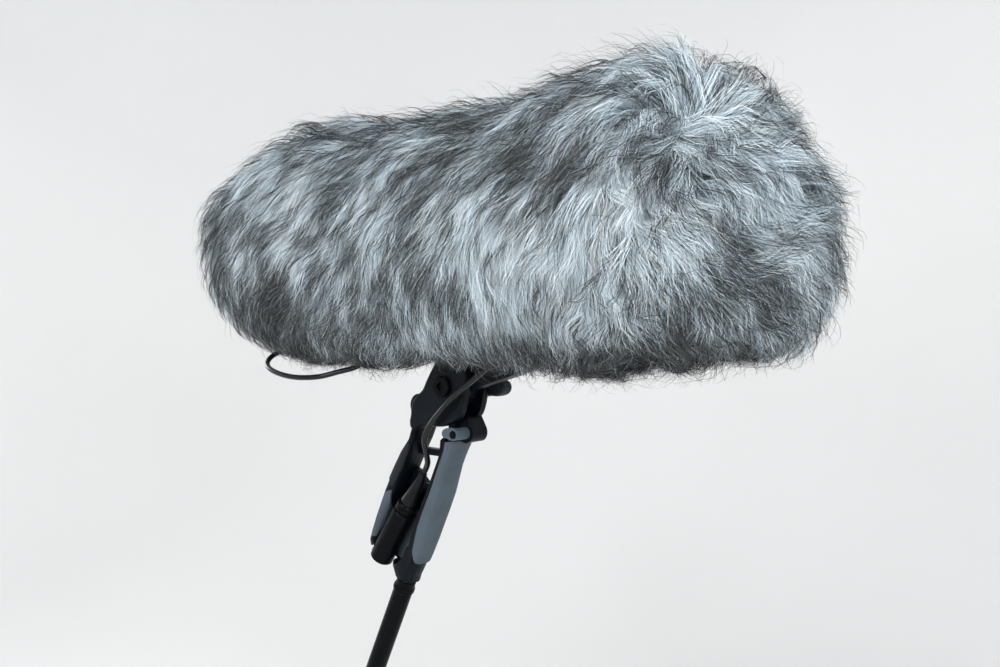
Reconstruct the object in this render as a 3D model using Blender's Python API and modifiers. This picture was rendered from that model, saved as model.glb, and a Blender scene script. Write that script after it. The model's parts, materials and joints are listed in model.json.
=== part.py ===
"""Blimp microphone windshield in a furry cover, tilting on a two-legged pistol grip with a screw-in tube.

+X is the front of the windshield and +Z is up.  The object is mirrored about the XZ plane but for the
cable, the connector and the levers.  The origin is the middle of the flat lower end of the tube.
"""

import math

import bmesh
import bpy
from mathutils import Matrix, Vector

MM = 0.001

# ---------------------------------------------------------------- driving dimensions
TUBE_RAKE = math.radians(25)
TUBE_LENGTH = 116 * MM
TUBE_RADIUS = 8 * MM
HANDLE_RAKE = math.radians(18)
BASE_DROP = 167 * MM
BASE_SHIFT = -3.5 * MM
AXIS_RISE = 112 * MM
AXIS_SHIFT = 20 * MM

NECK_HALF = 15 * MM
CHEEK_GAP = 7.8 * MM
TONGUE_HALF = 6.5 * MM
TONGUE_RADIUS = 16 * MM
BOLT_RADIUS = 4 * MM
PIN_RADIUS = 1.5 * MM
CLEARANCE = 0.3 * MM

FUR_HALF_LENGTH = 263.5 * MM
FUR_RADIUS = 98.5 * MM
FUR_LINING_RADIUS = 54.5 * MM
FUR_LINING_HALF = 213 * MM

CAGE_HALF = 150 * MM
CAGE_RADIUS = 52 * MM
CAGE_WALL = 2 * MM
DOME_LENGTH = 45 * MM
RING_WIDTH = 10 * MM

MIC_RADIUS = 10.5 * MM
MIC_DROP = -4 * MM
CLIP_PLACES = (-70 * MM, 45 * MM)

CABLE_RADIUS = 2.25 * MM
CONNECTOR_RAKE = math.radians(33.5)
CONNECTOR_RADIUS = 9.6 * MM
LEVER_REST = math.radians(-9)
GRIP_SKIN = 2.0 * MM

ROUND_STEPS = 24

ALONG_X = (0, math.pi / 2, 0)
ALONG_Y = (-math.pi / 2, 0, 0)
SHOE_SCREWS = (-34 * MM, 62 * MM)
GROMMET_X = -131 * MM

OPENING_CENTRE = (12 * MM, 0.5 * MM)
OPENING_HALF = (77 * MM, 30 * MM)
OPENING_POWER = 5

# ---------------------------------------------------------------- handle outlines, (forward, down) in mm
NECK_OUTLINE = [
    (-10, -22), (2, -26), (13, -24.5), (18.5, -15), (20.6, -2), (21.8, 10), (20.4, 18), (16.6, 23),
    (12, 26.8),
    (7.5, 29.8), (1, 32.6), (-7, 35), (-14, 38), (-18.6, 42.4), (-22.6, 44.4), (-26.2, 41.4),
    (-27.4, 34), (-29, 25.5), (-26.5, 18), (-21.5, 11), (-19.5, 3), (-16.5, -8),
]
FRONT_LEG = [
    (22, 4, 15, 10.4), (30, 4.6, 17.5, 11.6), (36, 6, 21.6, 12), (40, 7.2, 22, 12), (45, 8, 20.6, 12),
    (52, 8.4, 19, 12), (60, 8, 17.8, 12), (72, 6.8, 17.8, 12.2), (84, 5.4, 17.8, 12.4),
    (97, 3.4, 16.6, 12.4), (112, 0.6, 15, 12.2), (126, -1.4, 13.4, 12), (140, -2.2, 11.4, 11.4),
    (151, -2.6, 9.4, 10.6), (159, -2, 7.6, 9),
]
REAR_LEG = [
    (38, -25.4, -19.4, 13.4), (54, -27.2, -20.8, 12.4), (66, -31.4, -23, 12.2), (80, -35.4, -25.6, 12.2),
    (93, -39, -27, 12.2), (105, -41.5, -29, 12), (127, -44.8, -34, 11), (143, -47, -38.2, 9.8),
    (153, -48, -41, 8.4), (158, -47.2, -42, 6.4),
]
BASE = [
    (138, -14, 10.4, 9.6), (148, -18, 9.4, 10.4), (156, -19.5, 7.8, 10.4), (161, -18.5, 6.6, 10),
    (164.5, -15, 6.2, 9.8), (167, -13, 6, 9.5),
]
WEB_OUTLINE = [
    (-27, 82), (-12, 88), (4.2, 84), (5.4, 92), (2.4, 114), (0, 144), (-6, 159), (-20, 160), (-34, 157),
    (-42.5, 151), (-42, 138), (-37, 114), (-31, 96),
]
SPINE_OUTLINE = [
    (7.4, 39), (9.8, 41.6), (11.4, 48), (11, 54), (9, 66), (6.6, 80), (4.6, 97), (3.4, 117), (3.4, 136),
    (5, 144), (3, 152), (-1, 156), (-1.6, 140), (-1.8, 124), (0.4, 106), (3, 88), (5.6, 68), (7.2, 54),
]
WEB_POCKET = [
    (-14, 110.5), (-2.2, 109.5), (-3.2, 130), (-4.6, 147), (-9.4, 155.6), (-12.7, 158.2), (-22, 157.4),
    (-22, 146), (-18, 127),
]
WEB_PLATE = [
    (-13.2, 111.6), (-3, 110.6), (-3.9, 130), (-5.4, 146.6), (-9.8, 154.8), (-13, 157.3), (-21.2, 156.6),
    (-21.2, 146), (-17.2, 127.2),
]
REAR_PANEL = [(-25, 56), (-22.6, 58), (-26.8, 82), (-30, 97), (-34, 97), (-36.4, 91), (-31.4, 70)]
REAR_INLAY = [
    (-37, 105), (-31, 100.5), (-31.6, 116), (-35.4, 134), (-40, 147), (-43.6, 148), (-41.6, 130),
]
CROSSBAR = [(-24, 61.8), (10.4, 50.6), (10.4, 56.2), (-24, 67.4)]
GRIP_EDGE = [
    (9.6, 34), (11.2, 40), (12.2, 48), (10.4, 60), (7.8, 75), (5.4, 98), (4.2, 117), (4.6, 137), (8, 146),
    (13, 151), (15, 162),
]
GRIP_TOP_OUTLINE = [(-30, 10), (40, 10), (40, 30), (24, 35.8), (18, 38), (12, 41), (6, 42), (-30, 42)]
BAR_CENTRE = (22.7, 29.7)
BAR_RADIUS = 4.6 * MM
BAR_NEAR = -17.4 * MM
BAR_FAR = -3.5 * MM
BAR_ARM_OUTLINE = [
    (8, 17), (18, 17), (25.4, 22.4), (29.2, 26.4), (30, 31.4), (27, 36), (21, 37.4), (12, 35),
]
REAR_BOSS = (-21.9, 24.5)
REAR_BOSS_RADIUS = 9.4 * MM
SCREW_PLACES = [REAR_BOSS, (-30, 92), (-12, 146)]
SCREW_FLOOR = [10.5 * MM, 8.5 * MM, 7.5 * MM]
SCREW_NAMES = ["handle_screw_upper", "handle_screw_middle", "handle_screw_lower"]
LEG_POWER = 2.6
REAR_POWER = 2.8
BASE_POWER = 2.5
SKIN_THICKNESS = 0.8 * MM

# ---------------------------------------------------------------- route of the cable, from the axis in mm
CABLE_ROUTE = [
    (-131, 0, -54), (-131.5, 0, -60), (-137, 0, -69.5), (-150, 0, -77), (-171, 0, -81), (-193, -0.3, -83),
    (-213, -1.2, -85), (-227, -6.5, -89.8), (-232.5, -18, -97), (-225, -26.5, -104), (-205, -31, -109),
    (-180, -31, -111.6), (-156, -26, -110.4), (-140, -17, -106), (-128.5, -7.5, -101.8),
    (-120, -1.2, -94),
    (-114.5, -0.2, -84), (-110, 0, -75.5), (-99, 0, -69.5), (-82, 0, -67.5), (-66, -1.5, -68.5),
    (-52, -7.5, -71), (-38, -12.5, -73.5), (-20, -14.8, -75), (0, -16, -75.5), (17, -17, -76),
    (29, -18, -79), (35.5, -19, -86), (31.5, -20, -93.5), (17, -20.8, -104), (-3, -21, -118),
    (-19, -20.8, -131.5), (-30, -20.4, -143), (-36.3, -19, -153.5),
    (-38.6, -15, -163), (-42, -9.8, -171.4), (-45.4, -7.4, -176.2), (-48.9, -7, -181.3),
]

# ---------------------------------------------------------------- finishes: colour, roughness, metallic
BLACK_PLASTIC = ((0.012, 0.014, 0.017), 0.45)
DARK_PLASTIC = ((0.03, 0.033, 0.037), 0.55)
SOFT_GREY = ((0.13, 0.165, 0.19), 0.6)
CHARCOAL = ((0.022, 0.024, 0.028), 0.6)
BLUE_GREY = ((0.16, 0.21, 0.26), 0.5)
BLACK_METAL = ((0.01, 0.01, 0.011), 0.35, 0.9)
BRIGHT_METAL = ((0.7, 0.7, 0.68), 0.25, 1.0)
BRASS = ((0.62, 0.47, 0.2), 0.35, 1.0)
BLACK_RUBBER = ((0.008, 0.008, 0.01), 0.35)
CREAM_NYLON = ((0.55, 0.5, 0.42), 0.7)
FUR_GREY = ((0.33, 0.38, 0.42), 0.9)
SIGNAL_RED = ((0.35, 0.02, 0.015), 0.5)

# ---------------------------------------------------------------- reference points
TUBE_TOP = Vector((math.sin(TUBE_RAKE), 0, math.cos(TUBE_RAKE))) * TUBE_LENGTH
HANDLE_FORWARD = Vector((math.cos(HANDLE_RAKE), 0, -math.sin(HANDLE_RAKE)))
HANDLE_DOWN = Vector((-math.sin(HANDLE_RAKE), 0, -math.cos(HANDLE_RAKE)))
PIVOT = TUBE_TOP - BASE_SHIFT * HANDLE_FORWARD - BASE_DROP * HANDLE_DOWN
WINDSHIELD = PIVOT + Vector((AXIS_SHIFT, 0, AXIS_RISE))
CONNECTOR = WINDSHIELD + Vector((-49.3, -7, -182)) * MM

PARTS = None
CUTTERS = None


# ---------------------------------------------------------------- scene helpers
def start():
    """Empties the file and makes the two collections."""
    global PARTS, CUTTERS
    for thing in list(bpy.data.objects):
        bpy.data.objects.remove(thing, do_unlink=True)
    PARTS = bpy.data.collections.new("furry_windscreen")
    CUTTERS = bpy.data.collections.new("cutters")
    for group in (PARTS, CUTTERS):
        bpy.context.scene.collection.children.link(group)


def frame_empty(name, place, rake):
    """An empty at a reference point, turned about Y, that the pieces of one body are parented to."""
    empty = bpy.data.objects.new(name, None)
    empty.location = place
    empty.rotation_euler = (0, rake, 0)
    PARTS.objects.link(empty)
    return empty


def finish_material(name, colour, roughness, metallic=0.0):
    material = bpy.data.materials.new(name)
    material.use_nodes = True
    shader = material.node_tree.nodes["Principled BSDF"]
    shader.inputs["Base Color"].default_value = (*colour, 1)
    shader.inputs["Roughness"].default_value = roughness
    shader.inputs["Metallic"].default_value = metallic
    return material


def add(name, data, parent, place=(0, 0, 0), turn=(0, 0, 0), finish=None):
    """Puts a mesh or curve into the object as one named sub-part."""
    thing = bpy.data.objects.new(name, data)
    thing.location = place
    thing.rotation_euler = turn
    thing.parent = parent
    PARTS.objects.link(thing)
    if finish is not None:
        data.materials.append(finish_material(name + "_finish", *finish))
    return thing


def as_tool(thing):
    """Moves an object to the cutters, out of the render."""
    PARTS.objects.unlink(thing)
    CUTTERS.objects.link(thing)
    thing.hide_render = True
    thing.display_type = "WIRE"
    return thing


def combine(thing, tool, operation):
    change = thing.modifiers.new(operation.lower() + "_" + tool.name, "BOOLEAN")
    change.operation = operation
    change.object = tool
    return thing


def cut(thing, *tools):
    for tool in tools:
        combine(thing, tool, "DIFFERENCE")
    return thing


def join(thing, *tools):
    for tool in tools:
        combine(thing, tool, "UNION")
    return thing


def round_edges(thing, width, segments=2, angle=35):
    bevel = thing.modifiers.new("rounded_edges", "BEVEL")
    bevel.width = width
    bevel.segments = segments
    bevel.limit_method = "ANGLE"
    bevel.angle_limit = math.radians(angle)
    return thing


def smooth(mesh, angle=40):
    mesh.shade_smooth()
    mesh.set_sharp_from_angle(angle=math.radians(angle))
    return mesh


# ---------------------------------------------------------------- shape helpers
def box_mesh(name, low, high):
    """A box between two corners, from a unit cube."""
    low = Vector(low)
    high = Vector(high)
    body = bmesh.new()
    bmesh.ops.create_cube(body, size=1)
    bmesh.ops.scale(body, vec=high - low, verts=body.verts)
    bmesh.ops.translate(body, vec=(low + high) / 2, verts=body.verts)
    mesh = bpy.data.meshes.new(name)
    body.to_mesh(mesh)
    body.free()
    return mesh


def cylinder_mesh(name, radius, low, high, axis="Y", centre=(0, 0, 0), sides=ROUND_STEPS):
    """A cylinder from low to high along an axis, with its line through centre."""
    body = bmesh.new()
    bmesh.ops.create_cone(
        body, cap_ends=True, segments=sides, radius1=radius, radius2=radius, depth=high - low
    )
    bmesh.ops.translate(body, vec=(0, 0, (low + high) / 2), verts=body.verts)
    turns = {"X": Matrix.Rotation(math.pi / 2, 4, "Y"), "Y": Matrix.Rotation(-math.pi / 2, 4, "X")}
    if axis in turns:
        bmesh.ops.transform(body, matrix=turns[axis], verts=body.verts)
    bmesh.ops.translate(body, vec=centre, verts=body.verts)
    mesh = bpy.data.meshes.new(name)
    body.to_mesh(mesh)
    body.free()
    return smooth(mesh)


def turned(
    name, profile, parent, finish, closed=False, place=(0, 0, 0), turn=(0, 0, 0), steps=ROUND_STEPS
):
    """A turned piece: the profile of (radius, height) runs down its outer side about the local Z axis."""
    count = len(profile)
    edges = [(i, i + 1) for i in range(count - 1)]
    if closed:
        edges.append((count - 1, 0))
    mesh = bpy.data.meshes.new(name)
    mesh.from_pydata([(radius, 0, height) for radius, height in profile], edges, [])
    thing = add(name, mesh, parent, place, turn, finish)
    screw = thing.modifiers.new("turned", "SCREW")
    screw.steps = steps
    screw.render_steps = steps
    screw.use_merge_vertices = True
    screw.merge_threshold = 0.00001
    screw.use_smooth_shade = True
    return thing


def ring_profile(inner, outer, low, high):
    return [(outer, high), (outer, low), (inner, low), (inner, high)]


def plate_mesh(name, outline, low_y, high_y, smooth_outline=True):
    """A flat piece in the XZ plane between two Y planes, from a 2D curve through the outline's points."""
    curve = bpy.data.curves.new(name, "CURVE")
    curve.dimensions = "2D"
    curve.fill_mode = "BOTH"
    curve.extrude = (high_y - low_y) / 2
    curve.resolution_u = 3
    spline = curve.splines.new("BEZIER")
    spline.bezier_points.add(len(outline) - 1)
    for point, (x, z) in zip(spline.bezier_points, outline):
        point.co = (x, z, 0)
        kind = "AUTO" if smooth_outline else "VECTOR"
        point.handle_left_type = kind
        point.handle_right_type = kind
    spline.use_cyclic_u = True
    guide = bpy.data.objects.new(name + "_guide", curve)
    upright = Matrix.Rotation(math.pi / 2, 4, "X")
    guide.matrix_world = Matrix.Translation((0, (low_y + high_y) / 2, 0)) @ upright
    bpy.context.scene.collection.objects.link(guide)
    graph = bpy.context.evaluated_depsgraph_get()
    mesh = bpy.data.meshes.new_from_object(guide.evaluated_get(graph))
    mesh.transform(guide.matrix_world)
    bpy.data.objects.remove(guide, do_unlink=True)
    body = bmesh.new()
    body.from_mesh(mesh)
    bmesh.ops.remove_doubles(body, verts=body.verts, dist=0.00001)
    bmesh.ops.dissolve_limit(
        body, angle_limit=0.001, verts=body.verts, edges=[e for e in body.edges if flat_edge(e)]
    )
    bmesh.ops.recalc_face_normals(body, faces=body.faces)
    body.to_mesh(mesh)
    body.free()
    mesh.name = name
    return smooth(mesh)


def flat_edge(edge):
    return len(edge.link_faces) == 2 and edge.calc_face_angle(math.pi) < 0.001


def oval(centre, half_x, half_y, height, power, count=20):
    """A closed ring of points on a superellipse at one height."""
    points = []
    for step in range(count):
        angle = 2 * math.pi * step / count
        across = math.cos(angle)
        deep = math.sin(angle)
        x = centre[0] + half_x * math.copysign(abs(across) ** (2 / power), across)
        y = centre[1] + half_y * math.copysign(abs(deep) ** (2 / power), deep)
        points.append((x, y, height))
    return points


def loft_mesh(name, rings):
    """A closed skin over a stack of rings that have the same number of points."""
    body = bmesh.new()
    rows = [[body.verts.new(point) for point in ring] for ring in rings]
    count = len(rows[0])
    for upper, lower in zip(rows, rows[1:]):
        for i in range(count):
            j = (i + 1) % count
            body.faces.new((upper[i], upper[j], lower[j], lower[i]))
    body.faces.new(rows[0])
    body.faces.new(list(reversed(rows[-1])))
    bmesh.ops.recalc_face_normals(body, faces=body.faces)
    mesh = bpy.data.meshes.new(name)
    body.to_mesh(mesh)
    body.free()
    return smooth(mesh, 50)


def smooth_route(points, gap):
    """Points a fixed gap apart on a smooth curve through the route's own points."""
    route = [Vector(p) for p in points]
    route = [2 * route[0] - route[1]] + route + [2 * route[-1] - route[-2]]
    fine = []
    for a, b, c, d in zip(route, route[1:], route[2:], route[3:]):
        for step in range(24):
            t = step / 24
            square = (2 * a - 5 * b + 4 * c - d) * t**2
            cube = (3 * b - a - 3 * c + d) * t**3
            fine.append(0.5 * (2 * b + (c - a) * t + square + cube))
    fine.append(route[-2])
    total = sum((q - p).length for p, q in zip(fine, fine[1:]))
    count = max(2, round(total / gap))
    result = [fine[0]]
    run = 0.0
    for p, q in zip(fine, fine[1:]):
        step = (q - p).length
        while run + step >= total * len(result) / count and len(result) < count:
            part = (total * len(result) / count - run) / step
            result.append(p.lerp(q, part))
        run += step
    result.append(fine[-1])
    return result


def rod(name, points, radius, parent, finish, place=(0, 0, 0), sides=2):
    """A round wire or cable along a list of points, with closed ends."""
    curve = bpy.data.curves.new(name, "CURVE")
    curve.dimensions = "3D"
    curve.bevel_depth = radius
    curve.bevel_resolution = sides
    curve.use_fill_caps = True
    spline = curve.splines.new("POLY")
    spline.points.add(len(points) - 1)
    for point, co in zip(spline.points, points):
        point.co = (*co, 1)
    return add(name, curve, parent, place, (0, 0, 0), finish)


def in_mm(points):
    return [tuple(value * MM for value in point) for point in points]


# ---------------------------------------------------------------- handle
def handle_point(forward, down):
    """A point of the handle's side view, given forward and down from the pivot, as local X and Z."""
    return forward * MM, -down * MM


def handle_outline(points):
    return [handle_point(forward, down) for forward, down in points]


def leg_rings(sections, power, grow=0.0):
    """Rings for a leg from (down, rear edge, front edge, half thickness) in mm."""
    rings = []
    for down, rear, front, half in sections:
        centre = ((rear + front) / 2 * MM, 0)
        half_x = (front - rear) / 2 * MM + grow
        rings.append(oval(centre, half_x, half * MM + grow, -down * MM, power))
    return rings


def handle_frame(handle, tube, spot):
    """The black moulded frame: neck with two cheeks, front leg, rear leg, web, crossbar and round base."""
    neck = plate_mesh("handle_frame", handle_outline(NECK_OUTLINE), -NECK_HALF, NECK_HALF)
    frame = add("handle_frame", neck, handle, finish=BLACK_PLASTIC)
    round_edges(frame, 2.4 * MM, 2)
    x, z = handle_point(*REAR_BOSS)
    leg_core = leg_rings(FRONT_LEG, LEG_POWER, -GRIP_SKIN - CLEARANCE)
    arm_outline = handle_outline(BAR_ARM_OUTLINE)
    shapes = [
        ("front_leg", loft_mesh("front_leg", leg_core)),
        ("rear_leg", loft_mesh("rear_leg", leg_rings(REAR_LEG, REAR_POWER))),
        ("base_block", loft_mesh("base_block", leg_rings(BASE, BASE_POWER))),
        ("web", plate_mesh("web", handle_outline(WEB_OUTLINE), 3 * MM, 10 * MM)),
        ("leg_spine", plate_mesh("leg_spine", handle_outline(SPINE_OUTLINE), -9.8 * MM, 9.8 * MM)),
        ("crossbar", plate_mesh("crossbar", handle_outline(CROSSBAR), 1 * MM, 7.2 * MM, False)),
        ("bar_arm", plate_mesh("bar_arm", arm_outline, BAR_FAR, 13 * MM)),
        ("rear_boss", cylinder_mesh("rear_boss", REAR_BOSS_RADIUS, -13 * MM, 13 * MM, "Y", (x, 0, z))),
    ]
    for name, mesh in shapes:
        join(frame, as_tool(add(name + "_tool", mesh, handle)))
    cut(frame, *handle_cutters(handle, tube, spot))
    return frame


def handle_cutters(handle, tube, spot):
    """Cutters: tongue slot, bolt and pin holes, socket bore, connector channel, web and screw pockets."""
    low = (-45 * MM, -CHEEK_GAP, -18.2 * MM)
    high = (45 * MM, CHEEK_GAP, 32 * MM)
    tools = [as_tool(add("clevis_slot", box_mesh("clevis_slot", low, high), handle))]
    bolt_hole = cylinder_mesh("bolt_hole", BOLT_RADIUS + CLEARANCE, -20 * MM, 20 * MM)
    tools.append(as_tool(add("bolt_hole", bolt_hole, handle)))
    x, z = handle_point(*BAR_CENTRE)
    pin_hole = cylinder_mesh("pin_hole", PIN_RADIUS + CLEARANCE, -20 * MM, 11.4 * MM, "Y", (x, 0, z), 16)
    tools.append(as_tool(add("pin_hole", pin_hole, handle)))
    room = BAR_RADIUS + 2 * CLEARANCE
    bar_room = cylinder_mesh("bar_room", room, -20 * MM, BAR_FAR + CLEARANCE, "Y", (x, 0, z))
    tools.append(as_tool(add("bar_room", bar_room, handle)))
    bore = cylinder_mesh("socket_bore", 7.1 * MM, TUBE_LENGTH - 6 * MM, TUBE_LENGTH + 13.5 * MM, "Z")
    tools.append(as_tool(add("socket_bore", bore, tube)))
    reach = CONNECTOR_RADIUS + 0.35 * MM
    channel = cylinder_mesh("connector_channel", reach, -95 * MM, -29 * MM, "Z")
    mouth = box_mesh("channel_mouth", (-reach, -30 * MM, -95 * MM), (reach, 0, -29 * MM))
    tools.append(as_tool(add("connector_channel", channel, spot)))
    tools.append(as_tool(add("channel_mouth", mouth, spot)))
    hollow = plate_mesh("web_pocket", handle_outline(WEB_POCKET), -20 * MM, 3 * MM, smooth_outline=False)
    tools.append(as_tool(add("web_pocket", hollow, handle)))
    for name, (forward, down), floor in zip(SCREW_NAMES, SCREW_PLACES, SCREW_FLOOR):
        x, z = handle_point(forward, down)
        pocket = cylinder_mesh(name + "_pocket", 3.1 * MM, floor, 20 * MM, "Y", (x, 0, z), 16)
        tools.append(as_tool(add(name + "_pocket", pocket, handle)))
    return tools


def handle_screws(handle):
    """Pan-head screws on the far side that hold the moulding together."""
    for name, (forward, down), floor in zip(SCREW_NAMES, SCREW_PLACES, SCREW_FLOOR):
        x, z = handle_point(forward, down)
        seat = floor + CLEARANCE
        crown = seat + 2.2 * MM
        radius = 2.7 * MM
        recess = 1.1 * MM
        profile = [
            (0, crown - 1.2 * MM), (recess, crown - 1.2 * MM), (recess, crown),
            (radius - 0.7 * MM, crown),
            (radius, crown - 0.8 * MM), (radius, seat), (0, seat),
        ]
        turned(name, profile, handle, BLACK_METAL, place=(x, 0, z), turn=ALONG_Y, steps=14)


def grip_rear_tool(handle):
    """A wide block whose front face is the rear edge of the soft grip."""
    outline = GRIP_EDGE + [(-30, 166), (-30, 30), (GRIP_EDGE[0][0] - 2, 30)]
    mesh = plate_mesh("grip_rear", handle_outline(outline), -20 * MM, 20 * MM, smooth_outline=False)
    return as_tool(add("grip_rear_tool", mesh, handle))


def soft_grip(handle):
    """The grey soft-touch skin round the front leg."""
    skin = loft_mesh("soft_grip", leg_rings(FRONT_LEG[1:], LEG_POWER))
    grip = add("soft_grip", skin, handle, finish=SOFT_GREY)
    core = loft_mesh("grip_core", leg_rings(FRONT_LEG, LEG_POWER, -GRIP_SKIN))
    top = plate_mesh("grip_top", handle_outline(GRIP_TOP_OUTLINE), -20 * MM, 20 * MM, smooth_outline=False)
    arm = plate_mesh("grip_arm", handle_outline(BAR_ARM_OUTLINE), BAR_FAR - CLEARANCE, 14 * MM)
    base = loft_mesh("grip_base", leg_rings(BASE, BASE_POWER, 2 * CLEARANCE))
    bottom = box_mesh("grip_bottom", (-40 * MM, -20 * MM, -175 * MM), (40 * MM, 20 * MM, -157 * MM))
    x, z = handle_point(*BAR_CENTRE)
    bar = cylinder_mesh("grip_bar", BAR_RADIUS + 2 * CLEARANCE, -20 * MM, 20 * MM, "Y", (x, 0, z))
    tools = [("core", core), ("top", top), ("arm", arm), ("base", base), ("bottom", bottom), ("bar", bar)]
    cut(grip, *[as_tool(add(f"grip_{name}_tool", mesh, handle)) for name, mesh in tools])
    cut(grip, grip_rear_tool(handle))
    return grip


def leg_skin(handle, name, outline, finish):
    """A thin piece that follows the near side of the rear leg within an outline, just clear of it."""
    mesh = plate_mesh(name, handle_outline(outline), -20 * MM, -5 * MM, smooth_outline=False)
    skin = add(name, mesh, handle, finish=finish)
    outer = loft_mesh(name + "_outer", leg_rings(REAR_LEG, REAR_POWER, CLEARANCE + SKIN_THICKNESS))
    inner = loft_mesh(name + "_inner", leg_rings(REAR_LEG, REAR_POWER, CLEARANCE))
    combine(skin, as_tool(add(name + "_outer", outer, handle)), "INTERSECT")
    cut(skin, as_tool(add(name + "_inner", inner, handle)))


def rear_leg_trim(handle):
    """The charcoal panel on the upper part of the rear leg and the grey inlay on its lower part."""
    leg_skin(handle, "rear_panel", REAR_PANEL, CHARCOAL)
    leg_skin(handle, "rear_inlay", REAR_INLAY, SOFT_GREY)


def web_plate(handle, spot):
    """The blue-grey plate on the web, between the connector and the front leg."""
    mesh = plate_mesh("web_plate", handle_outline(WEB_PLATE), 1.5 * MM, 2.7 * MM, smooth_outline=False)
    plate = add("web_plate", mesh, handle, finish=BLUE_GREY)
    reach = CONNECTOR_RADIUS + 2 * CLEARANCE
    room = cylinder_mesh("plate_room", reach, -95 * MM, -25 * MM, "Z")
    return cut(plate, as_tool(add("plate_room", room, spot)))


def tilt_hardware(handle):
    """The bolt that the windshield tilts on, its two friction washers and the tension lever."""
    head = -NECK_HALF - CLEARANCE
    top = head - 3.4 * MM
    profile = [
        (0, 25 * MM), (BOLT_RADIUS, 25 * MM), (BOLT_RADIUS, head), (8 * MM, head),
        (8.2 * MM, head - 1 * MM),
        (8.2 * MM, top + 0.9 * MM), (7.3 * MM, top), (3.4 * MM, top), (3.4 * MM, top + 1.9 * MM),
        (0, top + 1.9 * MM),
    ]
    turned("pivot_bolt", profile, handle, BLACK_METAL, turn=ALONG_Y)
    for name, low in (("friction_washer_near", -7.5 * MM), ("friction_washer_far", 6.8 * MM)):
        washer = ring_profile(BOLT_RADIUS + CLEARANCE, 13.5 * MM, low, low + 0.7 * MM)
        turned(name, washer, handle, BRIGHT_METAL, closed=True, turn=ALONG_Y)
    outline = [
        (-9, 7), (-12, 0), (-8.5, -8.5), (0, -12), (9, -9), (18, -5.5), (30, -2.4), (33, 3.2), (30, 8),
        (19, 8.4), (9, 9.6), (0, 12),
    ]
    mesh = plate_mesh("tension_lever", [(x * MM, z * MM) for x, z in outline], 16 * MM, 27 * MM)
    mesh.transform(Matrix.Rotation(LEVER_REST, 4, "Y"))
    lever = round_edges(add("tension_lever", mesh, handle, finish=DARK_PLASTIC), 1.8 * MM, 2)
    bore = cylinder_mesh("lever_bore", BOLT_RADIUS + CLEARANCE, 10 * MM, 25.4 * MM, "Y")
    cut(lever, as_tool(add("lever_bore", bore, handle)))


def lock_paddle(handle):
    """The grey finger bar across the top of the grip, its wing on the near side, and its pin."""
    x, z = handle_point(*BAR_CENTRE)
    bar = cylinder_mesh("lock_paddle", BAR_RADIUS, BAR_NEAR, BAR_FAR)
    paddle = add("lock_paddle", bar, handle, (x, 0, z), finish=BLUE_GREY)
    outline = [
        (4.4, 1.6), (0, 4.6), (-5, 3.4), (-9.6, 0.8), (-11.4, -2.6), (-9.6, -5.4), (-5, -5.2), (0, -4.6),
        (4.4, -1.6),
    ]
    wing_far = BAR_NEAR + 2.1 * MM
    mesh = plate_mesh("paddle_wing", [(a * MM, b * MM) for a, b in outline], BAR_NEAR, wing_far)
    join(paddle, as_tool(add("paddle_wing", mesh, handle, (x, 0, z))))
    round_edges(paddle, 0.6 * MM, 2, 50)
    bore = cylinder_mesh("paddle_bore", PIN_RADIUS + CLEARANCE, -25 * MM, 10 * MM, "Y", (x, 0, z), 16)
    cut(paddle, as_tool(add("paddle_bore", bore, handle)))
    head = BAR_NEAR - CLEARANCE
    profile = [
        (0, 11 * MM), (PIN_RADIUS, 11 * MM), (PIN_RADIUS, head), (3.1 * MM, head),
        (2.8 * MM, head - 0.8 * MM),
        (0, head - 1.1 * MM),
    ]
    turned("paddle_pin", profile, handle, BLACK_METAL, place=(x, 0, z), turn=ALONG_Y, steps=16)


def tube_parts(tube):
    """The screw-in tube: tube, collar, threaded stud, end plug, and the socket in the base."""
    top = TUBE_LENGTH
    wall = TUBE_RADIUS - 1.5 * MM
    tube_low = 8.3 * MM
    tube_high = top - 1.8 * MM
    hollow = ring_profile(wall, TUBE_RADIUS, tube_low, tube_high)
    turned("extension_tube", hollow, tube, BLACK_METAL, closed=True)
    collar = [
        (TUBE_RADIUS + 0.9 * MM, top - 8.6 * MM), (TUBE_RADIUS + 0.9 * MM, top - 11.4 * MM),
        (TUBE_RADIUS + CLEARANCE, top - 12 * MM), (TUBE_RADIUS + CLEARANCE, top - 8 * MM),
    ]
    turned("tube_collar", collar, tube, BLACK_METAL, closed=True)
    stud = [
        (0, top + 11.5 * MM), (3.9 * MM, top + 11.5 * MM), (4.7 * MM, top + 10.6 * MM),
        (4.7 * MM, top - 0.2 * MM),
        (wall - CLEARANCE, top - 0.2 * MM), (wall - CLEARANCE, top - 18 * MM), (0, top - 18 * MM),
    ]
    turned("thread_stud", stud, tube, BRIGHT_METAL)
    socket = ring_profile(5 * MM, 6.8 * MM, top + 0.6 * MM, top + 13.2 * MM)
    turned("handle_socket", socket, tube, BRASS, closed=True)
    plug = [
        (0, 20 * MM), (wall - CLEARANCE, 20 * MM), (wall - CLEARANCE, 8 * MM), (TUBE_RADIUS, 8 * MM),
        (TUBE_RADIUS, 0.6 * MM), (TUBE_RADIUS - 0.6 * MM, 0), (0, 0),
    ]
    turned("tube_end_plug", plug, tube, BLACK_METAL)


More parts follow.
